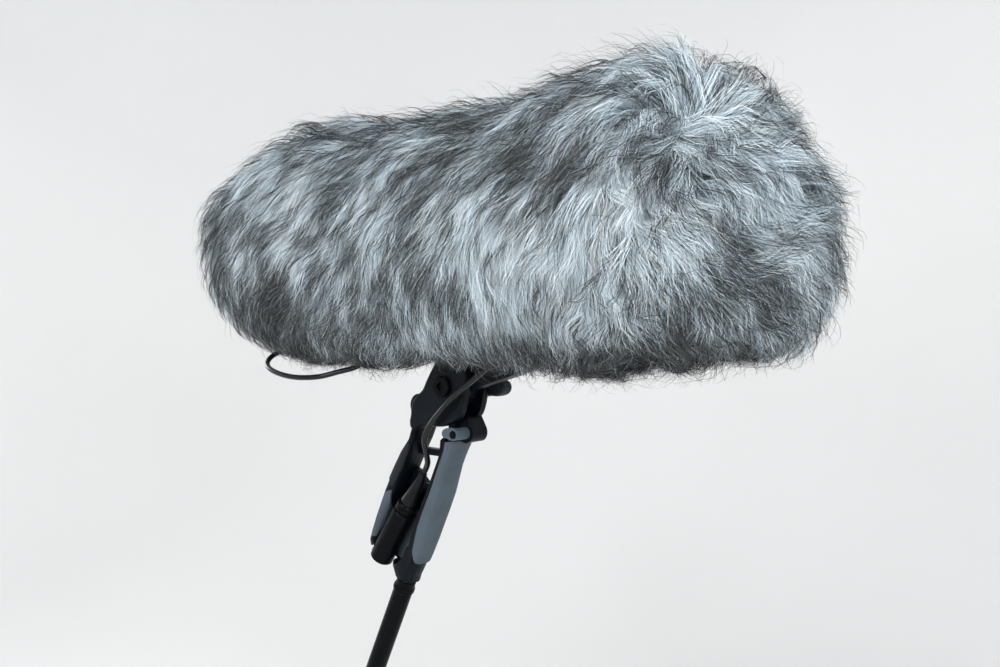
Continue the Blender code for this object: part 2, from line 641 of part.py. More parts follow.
def connector(spot):
    """The male cable connector in the handle's channel; its axis runs down from the boot's top."""
    boot = [
        (0, 0), (3 * MM, 0), (3.5 * MM, -7 * MM), (4.4 * MM, -14 * MM), (6 * MM, -23 * MM),
        (7 * MM, -28 * MM),
        (7 * MM, -30 * MM), (0, -30 * MM),
    ]
    turned("connector_boot", boot, spot, BLACK_RUBBER, steps=20)
    nut = [
        (0, -30.3 * MM), (7.8 * MM, -30.3 * MM), (8.8 * MM, -31.5 * MM), (8.8 * MM, -37.5 * MM),
        (8.2 * MM, -38.2 * MM), (0, -38.2 * MM),
    ]
    turned("connector_nut", nut, spot, BLACK_METAL, steps=20)
    radius = CONNECTOR_RADIUS
    shell = [
        (0, -38.5 * MM), (radius - 0.6 * MM, -38.5 * MM), (radius, -39.4 * MM), (radius, -88.4 * MM),
        (radius - 0.5 * MM, -89 * MM), (8.2 * MM, -89 * MM), (8.2 * MM, -60 * MM), (0, -60 * MM),
    ]
    shell_piece = turned("connector_shell", shell, spot, BLACK_METAL)
    window = oval((0, 0), 1.9 * MM, 2.9 * MM, 0, 2, 16)
    rings = [[(x, y, height) for x, y, _ in window] for height in (7 * MM, 12 * MM)]
    tunnel = loft_mesh("latch_window", rings)
    tunnel.transform(Matrix.Rotation(math.radians(-90), 4, "Y"))
    tunnel.transform(Matrix.Rotation(math.radians(38), 4, "Z"))
    cut(shell_piece, as_tool(add("latch_window", tunnel, spot, (0, 0, -79 * MM))))
    insert = [(0, -60.3 * MM), (7.9 * MM, -60.3 * MM), (7.9 * MM, -69 * MM), (0, -69 * MM)]
    turned("connector_insert", insert, spot, BLACK_PLASTIC, steps=20)
    for index in range(3):
        angle = math.radians(90 + 120 * index)
        place = (4 * MM * math.cos(angle), 4 * MM * math.sin(angle), 0)
        pin = [
            (0, -69.3 * MM), (1.2 * MM, -69.3 * MM), (1.2 * MM, -83 * MM), (0.6 * MM, -84 * MM),
            (0, -84 * MM),
        ]
        turned(f"connector_pin_{index + 1}", pin, spot, BRIGHT_METAL, place=place, steps=10)


# ---------------------------------------------------------------- windshield
def cap_profile(radius, half_length, cap, power, count):
    """Points down the outer side of a capsule with superellipse ends, front pole to rear pole."""
    front = []
    for step in range(count + 1):
        angle = math.pi / 2 * step / count
        along = math.cos(angle) ** (2 / power)
        across = math.sin(angle) ** (2 / power)
        front.append((radius * across, half_length - cap + cap * along))
    front[0] = (0.0, half_length)
    return front + [(r, -h) for r, h in reversed(front)]


def fur_cover(body):
    """The furry cover as a plain thick shell, with the neck opening and the closure slit underneath."""
    outer = cap_profile(FUR_RADIUS, FUR_HALF_LENGTH, FUR_RADIUS, 2.2, 7)
    inner = cap_profile(FUR_LINING_RADIUS, FUR_LINING_HALF, FUR_LINING_RADIUS, 2.2, 4)
    cover = turned("fur_cover", outer, body, FUR_GREY, turn=ALONG_X)
    lining = as_tool(turned("fur_lining", inner, body, FUR_GREY, turn=ALONG_X))
    heights = (-130 * MM, -40 * MM)
    rings = [oval(OPENING_CENTRE, *OPENING_HALF, height, OPENING_POWER) for height in heights]
    opening = loft_mesh("neck_opening", rings)
    slit = box_mesh("closure_slit", (-240 * MM, -6.5 * MM, -130 * MM), (-50 * MM, 6.5 * MM, -40 * MM))
    cut(cover, lining)
    cut(cover, as_tool(add("neck_opening", opening, body)), as_tool(add("closure_slit", slit, body)))
    strip = box_mesh("closure_strip", (-121 * MM, -6 * MM, -59.5 * MM), (-68 * MM, 6 * MM, -55.7 * MM))
    round_edges(add("closure_strip", strip, body, finish=BLACK_RUBBER), 0.5 * MM, 1)


def screw_tools(body, name, radius, low, high):
    tools = []
    for index, x in enumerate(SHOE_SCREWS):
        mesh = cylinder_mesh(name, radius, low, high, "Z", (x, 0, 0), 14)
        tools.append(as_tool(add(f"{name}_{index}", mesh, body)))
    return tools


def basket(body):
    """The cage with its windows, netting sleeve, end rings and domes."""
    cage = turned(
        "basket_cage", ring_profile(CAGE_RADIUS - CAGE_WALL, CAGE_RADIUS, -CAGE_HALF, CAGE_HALF), body,
        CREAM_NYLON, closed=True, turn=ALONG_X, steps=24,
    )
    windows = bmesh.new()
    for bay in range(5):
        middle = (bay - 2) * 57 * MM
        for side in range(6):
            angle = math.radians(60 * side)
            made = bmesh.ops.create_cube(windows, size=1)["verts"]
            bmesh.ops.scale(windows, vec=(46 * MM, 40 * MM, 30 * MM), verts=made)
            bmesh.ops.translate(windows, vec=(middle, 0, CAGE_RADIUS), verts=made)
            turn = Matrix.Rotation(angle - math.pi / 2, 4, "X")
            bmesh.ops.transform(windows, matrix=turn, verts=made)
    mesh = bpy.data.meshes.new("cage_windows")
    windows.to_mesh(mesh)
    windows.free()
    cut(cage, as_tool(add("cage_windows", mesh, body)))
    cut(cage, *screw_tools(body, "cage_screw_hole", 2.2 * MM, -60 * MM, -40 * MM))
    grommet_hole = cylinder_mesh("grommet_hole", 4.2 * MM, -60 * MM, -40 * MM, "Z", (GROMMET_X, 0, 0), 16)
    cut(cage, as_tool(add("grommet_hole", grommet_hole, body)))

    netting_outer = CAGE_RADIUS + 1.2 * MM
    netting = turned(
        "netting_sleeve", ring_profile(CAGE_RADIUS + CLEARANCE, netting_outer, -124 * MM, 124 * MM), body,
        BLACK_RUBBER, closed=True, turn=ALONG_X, steps=24,
    )
    cut(netting, *screw_tools(body, "netting_screw_hole", 2.4 * MM, -60 * MM, -40 * MM))

    spigot = CAGE_RADIUS - CAGE_WALL - CLEARANCE
    seat = CAGE_HALF + CLEARANCE
    ring = [
        (CAGE_RADIUS + 0.5 * MM, seat + RING_WIDTH), (CAGE_RADIUS + 0.5 * MM, seat), (spigot, seat),
        (spigot, seat - 9 * MM), (spigot - 2.2 * MM, seat - 9 * MM),
        (spigot - 2.2 * MM, seat + RING_WIDTH),
    ]
    dome_foot = seat + RING_WIDTH + CLEARANCE
    dome = []
    for step in range(6):
        angle = math.pi / 2 * step / 5
        dome.append((CAGE_RADIUS * math.sin(angle), dome_foot + DOME_LENGTH * math.cos(angle)))
    for step in range(6):
        angle = math.pi / 2 * (5 - step) / 5
        inner_radius = (CAGE_RADIUS - CAGE_WALL) * math.sin(angle)
        dome.append((inner_radius, dome_foot + (DOME_LENGTH - CAGE_WALL) * math.cos(angle)))
    dome[0] = (0.0, dome[0][1])
    dome[-1] = (0.0, dome[-1][1])
    for side, turn in (("front", ALONG_X), ("rear", (0, -math.pi / 2, 0))):
        turned(side + "_ring", ring, body, BLACK_PLASTIC, closed=True, turn=turn)
        turned(side + "_dome", dome, body, CREAM_NYLON, turn=turn)


def base_shoe(body):
    """The black shoe under the basket: saddle, arm and the tongue of the tilt joint."""
    outline = [
        (-44, -53.7), (78, -53.7), (80, -58), (79.5, -80), (70, -89), (54, -96.6), (34, -103.8),
        (12, -110.4),
        (-4, -116), (-12, -118), (-28, -108), (-38, -90), (-44, -70),
    ]
    arm = plate_mesh("base_shoe", [(x * MM, z * MM) for x, z in outline], -TONGUE_HALF, TONGUE_HALF, False)
    shoe = add("base_shoe", arm, body, finish=BLACK_PLASTIC)
    round_edges(shoe, 1.2 * MM, 2, 25)
    pivot = PIVOT - WINDSHIELD
    tongue = cylinder_mesh("tongue", TONGUE_RADIUS, -TONGUE_HALF, TONGUE_HALF, "Y", pivot)
    saddle = box_mesh("saddle", (-46 * MM, -9 * MM, -60 * MM), (79 * MM, 9 * MM, -53.7 * MM))
    join(shoe, as_tool(add("tongue", tongue, body)), as_tool(add("saddle", saddle, body)))
    hole = cylinder_mesh("tongue_hole", BOLT_RADIUS + CLEARANCE, -20 * MM, 20 * MM, "Y", pivot)
    cut(shoe, as_tool(add("tongue_hole", hole, body)))
    cut(shoe, *screw_tools(body, "shoe_screw_hole", 2.2 * MM, -68 * MM, -40 * MM))


def suspension(body):
    """The rail on the basket's floor, its screws, the two lyres and the microphone clips."""
    rail = box_mesh("suspension_rail", (-105 * MM, -8 * MM, -47.8 * MM), (105 * MM, 8 * MM, -44 * MM))
    rail_piece = round_edges(add("suspension_rail", rail, body, finish=BLACK_PLASTIC), 0.8 * MM, 1)
    cut(rail_piece, *screw_tools(body, "rail_screw_hole", 2.2 * MM, -60 * MM, -40 * MM))
    for name, x in zip(("shoe_screw_rear", "shoe_screw_front"), SHOE_SCREWS):
        profile = [
            (0, -41.6 * MM), (2.8 * MM, -41.6 * MM), (3.6 * MM, -42.6 * MM), (3.6 * MM, -43.7 * MM),
            (1.9 * MM, -43.7 * MM), (1.9 * MM, -66 * MM), (0, -66 * MM),
        ]
        turned(name, profile, body, BRIGHT_METAL, place=(x, 0, 0), steps=14)
    half = [(0, -41.9), (12, -41), (24, -33), (31.5, -20), (33, -6), (28, 4), (20.5, 2.5), (14.9, -4)]
    route = [(0, -y, z) for y, z in reversed(half)] + [(0, y, z) for y, z in half[1:]]
    for side, x in zip(("rear", "front"), CLIP_PLACES):
        points = smooth_route(in_mm(route), 8 * MM)
        rod(side + "_lyre", points, 1.5 * MM, body, SIGNAL_RED, (x, 0, 0))
        clip = ring_profile(MIC_RADIUS + CLEARANCE, 13 * MM, x - 7 * MM, x + 7 * MM)
        turned(side + "_mic_clip", clip, body, BLACK_RUBBER, True, (0, 0, MIC_DROP), ALONG_X, 24)


def microphone(body):
    """The shotgun microphone with its slotted tube and the female cable connector at its rear."""
    place = (0, 0, MIC_DROP)
    body_profile = [
        (0, -10 * MM), (MIC_RADIUS, -10 * MM), (MIC_RADIUS, -124 * MM),
        (MIC_RADIUS - 0.8 * MM, -125 * MM),
        (0, -125 * MM),
    ]
    turned("microphone_body", body_profile, body, BLACK_METAL, place=place, turn=ALONG_X, steps=24)
    tube_profile = [(0, 130 * MM), (MIC_RADIUS - 1.5 * MM, 130 * MM), (MIC_RADIUS, 128.5 * MM)]
    for index in range(5):
        low = (114 - 11 * index) * MM
        groove = MIC_RADIUS - 0.8 * MM
        high = low + 5 * MM
        tube_profile += [(MIC_RADIUS, high), (groove, high), (groove, low), (MIC_RADIUS, low)]
    tube_profile += [(MIC_RADIUS, -9.7 * MM), (0, -9.7 * MM)]
    turned("microphone_tube", tube_profile, body, BLACK_METAL, place=place, turn=ALONG_X, steps=24)
    shell = [
        (0, -125.3 * MM), (9.6 * MM, -125.3 * MM), (9.6 * MM, -158 * MM), (8.4 * MM, -160 * MM),
        (0, -160 * MM),
    ]
    turned("mic_connector", shell, body, BLACK_METAL, place=place, turn=ALONG_X, steps=20)
    boot = [(0, -160.3 * MM), (7 * MM, -160.3 * MM), (3.4 * MM, -178 * MM), (0, -178 * MM)]
    turned("mic_connector_boot", boot, body, BLACK_RUBBER, place=place, turn=ALONG_X, steps=20)


def cables(body):
    """The cable inside the basket, its grommet, and the cable on to the handle's connector."""
    inner = in_mm([
        (-178.3, 0, -4), (-184, 0, -4.2), (-191, -1, -8), (-194.5, -2, -16), (-192, -3, -25),
        (-184, -4, -32),
        (-170, -4, -35), (-153, -3, -32), (-139, -1.5, -31), (-132, -0.3, -36.5), (-131, 0, -45.2),
    ])
    rod("inner_cable", smooth_route(inner, 6.5 * MM), CABLE_RADIUS, body, BLACK_RUBBER)
    grommet = [
        (0, -45.8 * MM), (4.4 * MM, -45.8 * MM), (5.6 * MM, -47 * MM), (5.6 * MM, -48.6 * MM),
        (3.8 * MM, -48.8 * MM), (3.8 * MM, -53.4 * MM), (0, -53.4 * MM),
    ]
    turned("cable_grommet", grommet, body, BLACK_RUBBER, place=(GROMMET_X, 0, 0), steps=16)
    rod("microphone_cable", smooth_route(in_mm(CABLE_ROUTE), 10 * MM), CABLE_RADIUS, body, BLACK_RUBBER)


def main():
    start()
    tube = frame_empty("tube_frame", (0, 0, 0), TUBE_RAKE)
    handle = frame_empty("handle_axes", PIVOT, HANDLE_RAKE)
    spot = frame_empty("connector_axes", CONNECTOR, CONNECTOR_RAKE)
    body = frame_empty("windshield_axes", WINDSHIELD, 0)
    bpy.context.view_layer.update()
    handle_frame(handle, tube, spot)
    handle_screws(handle)
    soft_grip(handle)
    rear_leg_trim(handle)
    web_plate(handle, spot)
    tilt_hardware(handle)
    lock_paddle(handle)
    tube_parts(tube)
    connector(spot)
    fur_cover(body)
    basket(body)
    base_shoe(body)
    suspension(body)
    microphone(body)
    cables(body)


main()
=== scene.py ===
"""Looks of the furry windscreen: two-tone pile as mesh strands, cable, handle finishes, studio."""

import math

import bmesh
import bpy
import numpy as np
from mathutils import Matrix, Vector
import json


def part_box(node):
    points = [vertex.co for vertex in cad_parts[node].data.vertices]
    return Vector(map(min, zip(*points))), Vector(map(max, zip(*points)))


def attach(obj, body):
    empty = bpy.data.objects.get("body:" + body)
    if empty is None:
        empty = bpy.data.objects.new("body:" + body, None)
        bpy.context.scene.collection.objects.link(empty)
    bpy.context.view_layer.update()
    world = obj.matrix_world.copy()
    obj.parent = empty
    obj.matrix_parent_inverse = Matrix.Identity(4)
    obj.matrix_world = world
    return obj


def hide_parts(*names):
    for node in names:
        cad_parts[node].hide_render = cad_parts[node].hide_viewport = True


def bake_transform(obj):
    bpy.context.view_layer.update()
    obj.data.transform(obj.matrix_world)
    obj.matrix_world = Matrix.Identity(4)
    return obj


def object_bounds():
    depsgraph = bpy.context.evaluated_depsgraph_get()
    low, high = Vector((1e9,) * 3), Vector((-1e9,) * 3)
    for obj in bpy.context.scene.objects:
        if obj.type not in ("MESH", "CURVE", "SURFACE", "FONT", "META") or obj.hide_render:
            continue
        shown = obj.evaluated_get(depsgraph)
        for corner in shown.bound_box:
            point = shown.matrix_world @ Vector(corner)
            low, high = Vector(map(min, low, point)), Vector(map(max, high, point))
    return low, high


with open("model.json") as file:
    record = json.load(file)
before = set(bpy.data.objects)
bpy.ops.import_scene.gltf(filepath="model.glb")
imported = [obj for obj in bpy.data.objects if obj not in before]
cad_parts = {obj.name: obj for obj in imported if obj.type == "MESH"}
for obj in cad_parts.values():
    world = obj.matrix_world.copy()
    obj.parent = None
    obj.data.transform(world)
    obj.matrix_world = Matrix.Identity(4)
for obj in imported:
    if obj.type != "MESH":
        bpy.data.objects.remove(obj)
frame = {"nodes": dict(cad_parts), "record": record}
cad_low, cad_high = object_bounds()

MM = 0.001

# ---------------------------------------------------------------- places read from the frame
FUR_LOW, FUR_HIGH = (np.array(corner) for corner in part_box("fur_cover"))
AXIS = (FUR_LOW + FUR_HIGH) / 2
HALF_LENGTH = (FUR_HIGH - FUR_LOW)[0] / 2
RADIUS = (FUR_HIGH - FUR_LOW)[1] / 2
CAP_POWER = 2.2


def from_axis(x, y, z):
    """A point given in millimetres from the middle of the windshield."""
    return Vector(AXIS) + Vector((x, y, z)) * MM


# ---------------------------------------------------------------- camera
CAMERA_PLACE = (492.6, -539.4, -52.8)
CAMERA_AZIMUTH = 41
CAMERA_ELEVATION = 1.5
LENS = 35
SENSOR = 36


def make_camera():
    """A camera that looks almost level at the windshield, from between its front and near side."""
    azimuth = math.radians(CAMERA_AZIMUTH)
    elevation = math.radians(CAMERA_ELEVATION)
    data = bpy.data.cameras.new("camera")
    data.lens = LENS
    data.sensor_width = SENSOR
    camera = bpy.data.objects.new("camera", data)
    bpy.context.scene.collection.objects.link(camera)
    away = Vector(
        (
            math.sin(azimuth) * math.cos(elevation),
            -math.cos(azimuth) * math.cos(elevation),
            math.sin(elevation),
        )
    )
    camera.location = from_axis(*CAMERA_PLACE)
    camera.rotation_euler = (-away).to_track_quat("-Z", "Y").to_euler()
    bpy.context.scene.camera = camera


make_camera()


# ---------------------------------------------------------------- meshes and pieces
def finished_mesh(name, body, smooth=True):
    """Turns the working mesh into a mesh with the given name."""
    mesh = bpy.data.meshes.new(name)
    body.to_mesh(mesh)
    body.free()
    if smooth:
        mesh.shade_smooth()
    return mesh


def join_rings(body, rings):
    """Joins each closed ring of vertices to the next one with four-sided faces."""
    sides = len(rings[0])
    for first, second in zip(rings, rings[1:]):
        for i in range(sides):
            j = (i + 1) % sides
            body.faces.new((first[i], first[j], second[j], second[i]))


def make_object(name, mesh):
    thing = bpy.data.objects.new(name, mesh)
    bpy.context.scene.collection.objects.link(thing)
    return thing


def make_piece(name, mesh, body, material):
    """A piece of the visual model with one material; it rides on the body if one is given."""
    piece = make_object(name, mesh)
    mesh.materials.append(material)
    if body is not None:
        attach(piece, body)
    return piece


# ---------------------------------------------------------------- cable
# Points of the cable's middle line, in millimetres from the middle of the windshield: out of the
# grommet, the loop under the rear, along under the pile, over the neck and into the boot.
CABLE_ROUTE = [
    (-131, 0, -54), (-131.5, 0, -60), (-137, 0, -69.5), (-150, 0, -77), (-171, 0, -81),
    (-193, -0.3, -83), (-213, -1.2, -85), (-227, -6.5, -89.8), (-232.5, -18, -97),
    (-225, -26.5, -104), (-205, -31, -109),
    (-180, -31, -111.6), (-156, -26, -110.4), (-140, -17, -106), (-128.5, -7.5, -101.8),
    (-120, -1.2, -94),
    (-114.5, -0.2, -84), (-110, 0, -75.5), (-99, 0, -69.5), (-82, 0, -67.5), (-66, -1.5, -68.5),
    (-52, -7.5, -71), (-38, -12.5, -73.5), (-20, -14.8, -75), (0, -16, -75.5), (17, -17, -76),
    (29, -18, -79), (35.5, -19, -86), (31.5, -20, -93.5), (17, -20.8, -104), (-3, -21, -118),
    (-19, -20.8, -131.5), (-30, -20.4, -143), (-36.3, -19, -153.5), (-38.6, -15, -163),
    (-42, -9.8, -171.4), (-45.4, -7.4, -176.2), (-48.9, -7, -181.3),
]
CABLE_DIAMETER = 4.5 * MM
CABLE_SIDES = 20
ROUTE_STEPS = 8


def smooth_route(points, steps):
    """A finer line on one smooth curve through the points."""
    route = [Vector(p) for p in points]
    route = [2 * route[0] - route[1]] + route + [2 * route[-1] - route[-2]]
    fine = []
    for a, b, c, d in zip(route, route[1:], route[2:], route[3:]):
        for step in range(steps):
            t = step / steps
            square = 2 * a - 5 * b + 4 * c - d
            cube = 3 * b - a - 3 * c + d
            fine.append(0.5 * (2 * b + (c - a) * t + square * t**2 + cube * t**3))
    fine.append(route[-2])
    return fine


def tube_mesh(name, path, radius, sides):
    """A round tube with flat ends along a line of points, without twist."""
    body = bmesh.new()
    tangent = (path[1] - path[0]).normalized()
    side = tangent.orthogonal().normalized()
    rings = []
    for index, point in enumerate(path):
        before = path[max(0, index - 1)]
        after = path[min(len(path) - 1, index + 1)]
        turned = (after - before).normalized()
        side = (side - turned * side.dot(turned)).normalized()
        up = turned.cross(side)
        ring = []
        for step in range(sides):
            angle = 2 * math.pi * step / sides
            spoke = math.cos(angle) * side + math.sin(angle) * up
            ring.append(body.verts.new(point + radius * spoke))
        rings.append(ring)
    join_rings(body, rings)
    body.faces.new(list(reversed(rings[0])))
    body.faces.new(rings[-1])
    return finished_mesh(name, body)


# ---------------------------------------------------------------- materials
class Material:
    """A Principled material with helpers that wire procedural detail to it."""

    def __init__(self, name, roughness, metallic=0.0, **constants):
        self.material = bpy.data.materials.new(name)
        self.material.use_nodes = True
        self.tree = self.material.node_tree
        self.shader = self.tree.nodes["Principled BSDF"]
        self.shader.inputs["Roughness"].default_value = roughness
        self.shader.inputs["Metallic"].default_value = metallic
        for key, value in constants.items():
            self.shader.inputs[key.replace("_", " ")].default_value = value
        self.height = None  # the last bump, under the next one

    def node(self, kind, **settings):
        node = self.tree.nodes.new(kind)
        for key, value in settings.items():
            setattr(node, key, value)
        return node

    def link(self, out, into):
        self.tree.links.new(out, into)

    def noise(self, scale, detail=3.0, stretch=(1, 1, 1)):
        place = self.node("ShaderNodeTexCoord")
        mapping = self.node("ShaderNodeMapping")
        mapping.inputs["Scale"].default_value = stretch
        self.link(place.outputs["Object"], mapping.inputs["Vector"])
        noise = self.node("ShaderNodeTexNoise")
        noise.inputs["Scale"].default_value = scale
        noise.inputs["Detail"].default_value = detail
        self.link(mapping.outputs["Vector"], noise.inputs["Vector"])
        return noise.outputs["Fac"]

    def ramp(self, source, stops):
        ramp = self.node("ShaderNodeValToRGB")
        ramp.color_ramp.elements[0].position = stops[0][0]
        ramp.color_ramp.elements[-1].position = stops[-1][0]
        for place, _ in stops[1:-1]:
            ramp.color_ramp.elements.new(place)
        for element, (_, colour) in zip(ramp.color_ramp.elements, stops):
            element.color = (*colour, 1)
        self.link(source, ramp.inputs["Fac"])
        return ramp.outputs["Color"]

    def colour(self, source, stops):
        self.link(self.ramp(source, stops), self.shader.inputs["Base Color"])

    def roughness(self, source, low, high):
        spread = self.node("ShaderNodeMapRange")
        spread.inputs["To Min"].default_value = low
        spread.inputs["To Max"].default_value = high
        self.link(source, spread.inputs["Value"])
        self.link(spread.outputs["Result"], self.shader.inputs["Roughness"])

    def bump(self, source, distance, strength=1.0):
        bump = self.node("ShaderNodeBump")
        bump.inputs["Distance"].default_value = distance
        bump.inputs["Strength"].default_value = strength
        self.link(source, bump.inputs["Height"])
        if self.height is not None:
            self.link(self.height, bump.inputs["Normal"])
        self.height = bump.outputs["Normal"]
        self.link(self.height, self.shader.inputs["Normal"])


def mixed(colour, amount):
    """The colour made darker or lighter."""
    return tuple(min(1.0, part * amount) for part in colour)


def moulded(name, colour, roughness, grain=900.0, depth=0.05 * MM, **constants):
    """Moulded plastic or soft-touch rubber: fine spark texture, faint wear and handling marks."""
    made = Material(name, roughness, **constants)
    broad = made.noise(28.0, 4.0)
    made.colour(broad, [(0.3, mixed(colour, 0.8)), (0.5, colour), (0.72, mixed(colour, 1.3))])
    made.roughness(made.noise(60.0, 5.0), roughness - 0.07, roughness + 0.09)
    made.bump(made.noise(grain, 2.0), depth, 0.6)
    return made.material


def metal(name, colour, roughness, stretch=(1, 1, 1), **constants):
    """Turned or drawn metal with fine tool marks."""
    made = Material(name, roughness, 1.0, **constants)
    made.colour(made.noise(40.0, 3.0), [(0.3, mixed(colour, 0.85)), (0.7, mixed(colour, 1.12))])
    made.roughness(made.noise(300.0, 3.0, stretch), roughness - 0.06, roughness + 0.08)
    made.bump(made.noise(1500.0, 2.0, stretch), 0.01 * MM, 0.4)
    return made.material


def anodised(name, colour, roughness):
    """Black anodised or painted metal: a dielectric satin coat with faint scuffs."""
    made = Material(name, roughness, 0.0, Specular_IOR_Level=0.06)
    made.colour(made.noise(90.0, 6.0), [(0.35, colour), (0.7, mixed(colour, 1.6))])
    made.roughness(made.noise(180.0, 4.0), roughness - 0.06, roughness + 0.1)
    made.bump(made.noise(2500.0, 2.0), 0.008 * MM, 0.5)
    return made.material


THREADS = 2200.0 / 6


def woven(name, colour):
    """Woven nylon: two crossed thread waves with uneven dye."""
    made = Material(name, 0.8, Sheen_Weight=0.3)
    made.colour(made.noise(120.0, 5.0), [(0.3, mixed(colour, 0.7)), (0.7, mixed(colour, 1.5))])
    place = made.node("ShaderNodeTexCoord")
    for direction in ("X", "Y"):
        wave = made.node("ShaderNodeTexWave")
        wave.bands_direction = direction
        wave.inputs["Scale"].default_value = THREADS
        wave.inputs["Distortion"].default_value = 0.6
        made.link(place.outputs["Object"], wave.inputs["Vector"])
        made.bump(wave.outputs["Fac"], 0.08 * MM, 0.7)
    return made.material


# ---------------------------------------------------------------- fur colours
# Shades 0 to 10 are the light underfur, 11 to 15 the dark hair. Each has a root and a tip colour.
SHADES = 16
LIGHT_SHADES = 11
ROOT_COLOURS = [
    (0.36, 0.45, 0.51), (0.42, 0.51, 0.57), (0.47, 0.57, 0.63), (0.53, 0.62, 0.68),
    (0.58, 0.67, 0.73), (0.63, 0.72, 0.78), (0.69, 0.78, 0.83), (0.75, 0.83, 0.88),
    (0.81, 0.88, 0.92), (0.87, 0.93, 0.96), (0.74, 0.77, 0.76),
    (0.28, 0.33, 0.36), (0.13, 0.15, 0.165), (0.08, 0.087, 0.09), (0.05, 0.052, 0.053),
    (0.03, 0.030, 0.030),
]
TIP_COLOURS = [
    (0.15, 0.19, 0.22), (0.24, 0.30, 0.34), (0.34, 0.42, 0.47), (0.43, 0.52, 0.58),
    (0.52, 0.61, 0.67), (0.60, 0.69, 0.75), (0.67, 0.76, 0.81), (0.74, 0.82, 0.87),
    (0.81, 0.88, 0.92), (0.88, 0.94, 0.97), (0.42, 0.42, 0.40),
    (0.07, 0.072, 0.072), (0.035, 0.034, 0.033), (0.022, 0.021, 0.02), (0.013, 0.012, 0.012),
    (0.008, 0.0078, 0.0075),
]


def fur_material():
    """Hair colour from the strand's own map: first axis is the shade, second root to tip."""
    made = Material("fur_pile", 0.6, Specular_IOR_Level=0.25)
    place = made.node("ShaderNodeUVMap", uv_map="OFBake")
    parts = made.node("ShaderNodeSeparateXYZ")
    made.link(place.outputs["UV"], parts.inputs["Vector"])
    rows = []
    for colours in (ROOT_COLOURS, TIP_COLOURS):
        stops = [((index + 0.5) / SHADES, colour) for index, colour in enumerate(colours)]
        rows.append(made.ramp(parts.outputs["X"], stops))
    along = made.node("ShaderNodeMapRange", interpolation_type="SMOOTHSTEP")
    along.inputs["From Min"].default_value = 0.25
    along.inputs["From Max"].default_value = 0.95
    made.link(parts.outputs["Y"], along.inputs["Value"])
    blend = made.node("ShaderNodeMix", data_type="RGBA")
    made.link(along.outputs["Result"], blend.inputs["Factor"])
    made.link(rows[0], blend.inputs["A"])
    made.link(rows[1], blend.inputs["B"])
    made.link(blend.outputs["Result"], made.shader.inputs["Base Color"])
    return made.material


# ---------------------------------------------------------------- the shape the pile fills
def unit(vectors):
    return vectors / (np.linalg.norm(vectors, axis=-1, keepdims=True) + 1e-12)


def smoothstep(low, high, value):
    t = np.clip((value - low) / (high - low), 0, 1)
    return t * t * (3 - 2 * t)


def level(points):
    """How far out a point is: 1 on the outer surface of the pile, 0 on the axis."""
    along = np.maximum(np.abs(points[..., 0]) - (HALF_LENGTH - RADIUS), 0) / RADIUS
    across = np.hypot(points[..., 1], points[..., 2]) / RADIUS
    return (along**CAP_POWER + across**CAP_POWER) ** (1 / CAP_POWER)


def outward(points):
    """Unit normals of the pile's outer shape."""
    along = np.maximum(np.abs(points[..., 0]) - (HALF_LENGTH - RADIUS), 0) / RADIUS
    ring = np.hypot(points[..., 1], points[..., 2]) + 1e-9
    across = ring / RADIUS
    normal = np.empty_like(points)
    normal[..., 0] = np.sign(points[..., 0]) * along ** (CAP_POWER - 1)
    normal[..., 1] = across ** (CAP_POWER - 1) * points[..., 1] / ring
    normal[..., 2] = across ** (CAP_POWER - 1) * points[..., 2] / ring
    return unit(normal)


def cap_profile(depth, steps):
    """Points (x, radius), pole to pole, of the capsule that lies depth under the pile's surface."""
    angle = np.linspace(0, math.pi / 2, steps)
    cap = RADIUS - depth
    along = HALF_LENGTH - RADIUS + cap * np.cos(angle) ** (2 / CAP_POWER)
    across = cap * np.sin(angle) ** (2 / CAP_POWER)
    return np.concatenate([along, -along[::-1]]), np.concatenate([across, across[::-1]])


# Multiples of these two shares fill a unit square evenly.
EVEN_ALONG = 0.7548776662466927
EVEN_ROUND = 0.5698402909980532
PROFILE_STEPS = 400


def spread_points(count, depth, offset=0.0):
    """Points spread evenly by area on the capsule that lies depth under the outer surface."""
    x, r = cap_profile(depth, PROFILE_STEPS)
    step = np.hypot(np.diff(x), np.diff(r)) * (r[1:] + r[:-1]) / 2
    run = np.concatenate([[0], np.cumsum(step)])
    index = np.arange(count) + offset
    share = (index * EVEN_ALONG) % 1
    turn = 2 * math.pi * ((index * EVEN_ROUND) % 1)
    place = np.interp(share * run[-1], run, np.arange(len(run)))
    px = np.interp(place, np.arange(len(x)), x)
    pr = np.interp(place, np.arange(len(r)), r)
    return np.stack([px, pr * np.cos(turn), pr * np.sin(turn)], axis=1)


CROSSED_WAVES = 9
WAVES_PEAK = 3.2


def waves(points, size, seed):
    """Smooth random field from about -1 to 1: crossed sine waves of about the given size."""
    random = np.random.default_rng(seed)
    total = np.zeros(points.shape[:-1])
    for _ in range(CROSSED_WAVES):
        direction = unit(random.normal(size=3)) * 2 * math.pi / (size * random.uniform(0.7, 1.6))
        total += np.sin(points @ direction + random.uniform(0, 2 * math.pi))
    return total / WAVES_PEAK


# Places where the outline stands out or in: the way the surface faces there, how near to that way
# the change starts and is full, and its height in millimetres.
CORNERS = [
    ((0.45, -0.05, 0.89), (0.93, 0.985), -20),
    ((0.77, 0.19, 0.60), (0.86, 0.975), -15),
    ((0.60, 0.52, -0.61), (0.80, 0.97), 8),
    ((-0.50, -0.43, 0.75), (0.84, 0.99), -15),
]


TOP_SWELL = 7.5 * MM  # both sides of the saddle on top
CHIN_FLAT = 9 * MM  # under the front end
BROW_SWELL = 5 * MM  # above the front end
REAR_SWELL = 17 * MM
FRONT_SWELL = 4 * MM
SURFACE_LAYER = (0.70, 0.98)  # levels between which the swelling grows to its full height


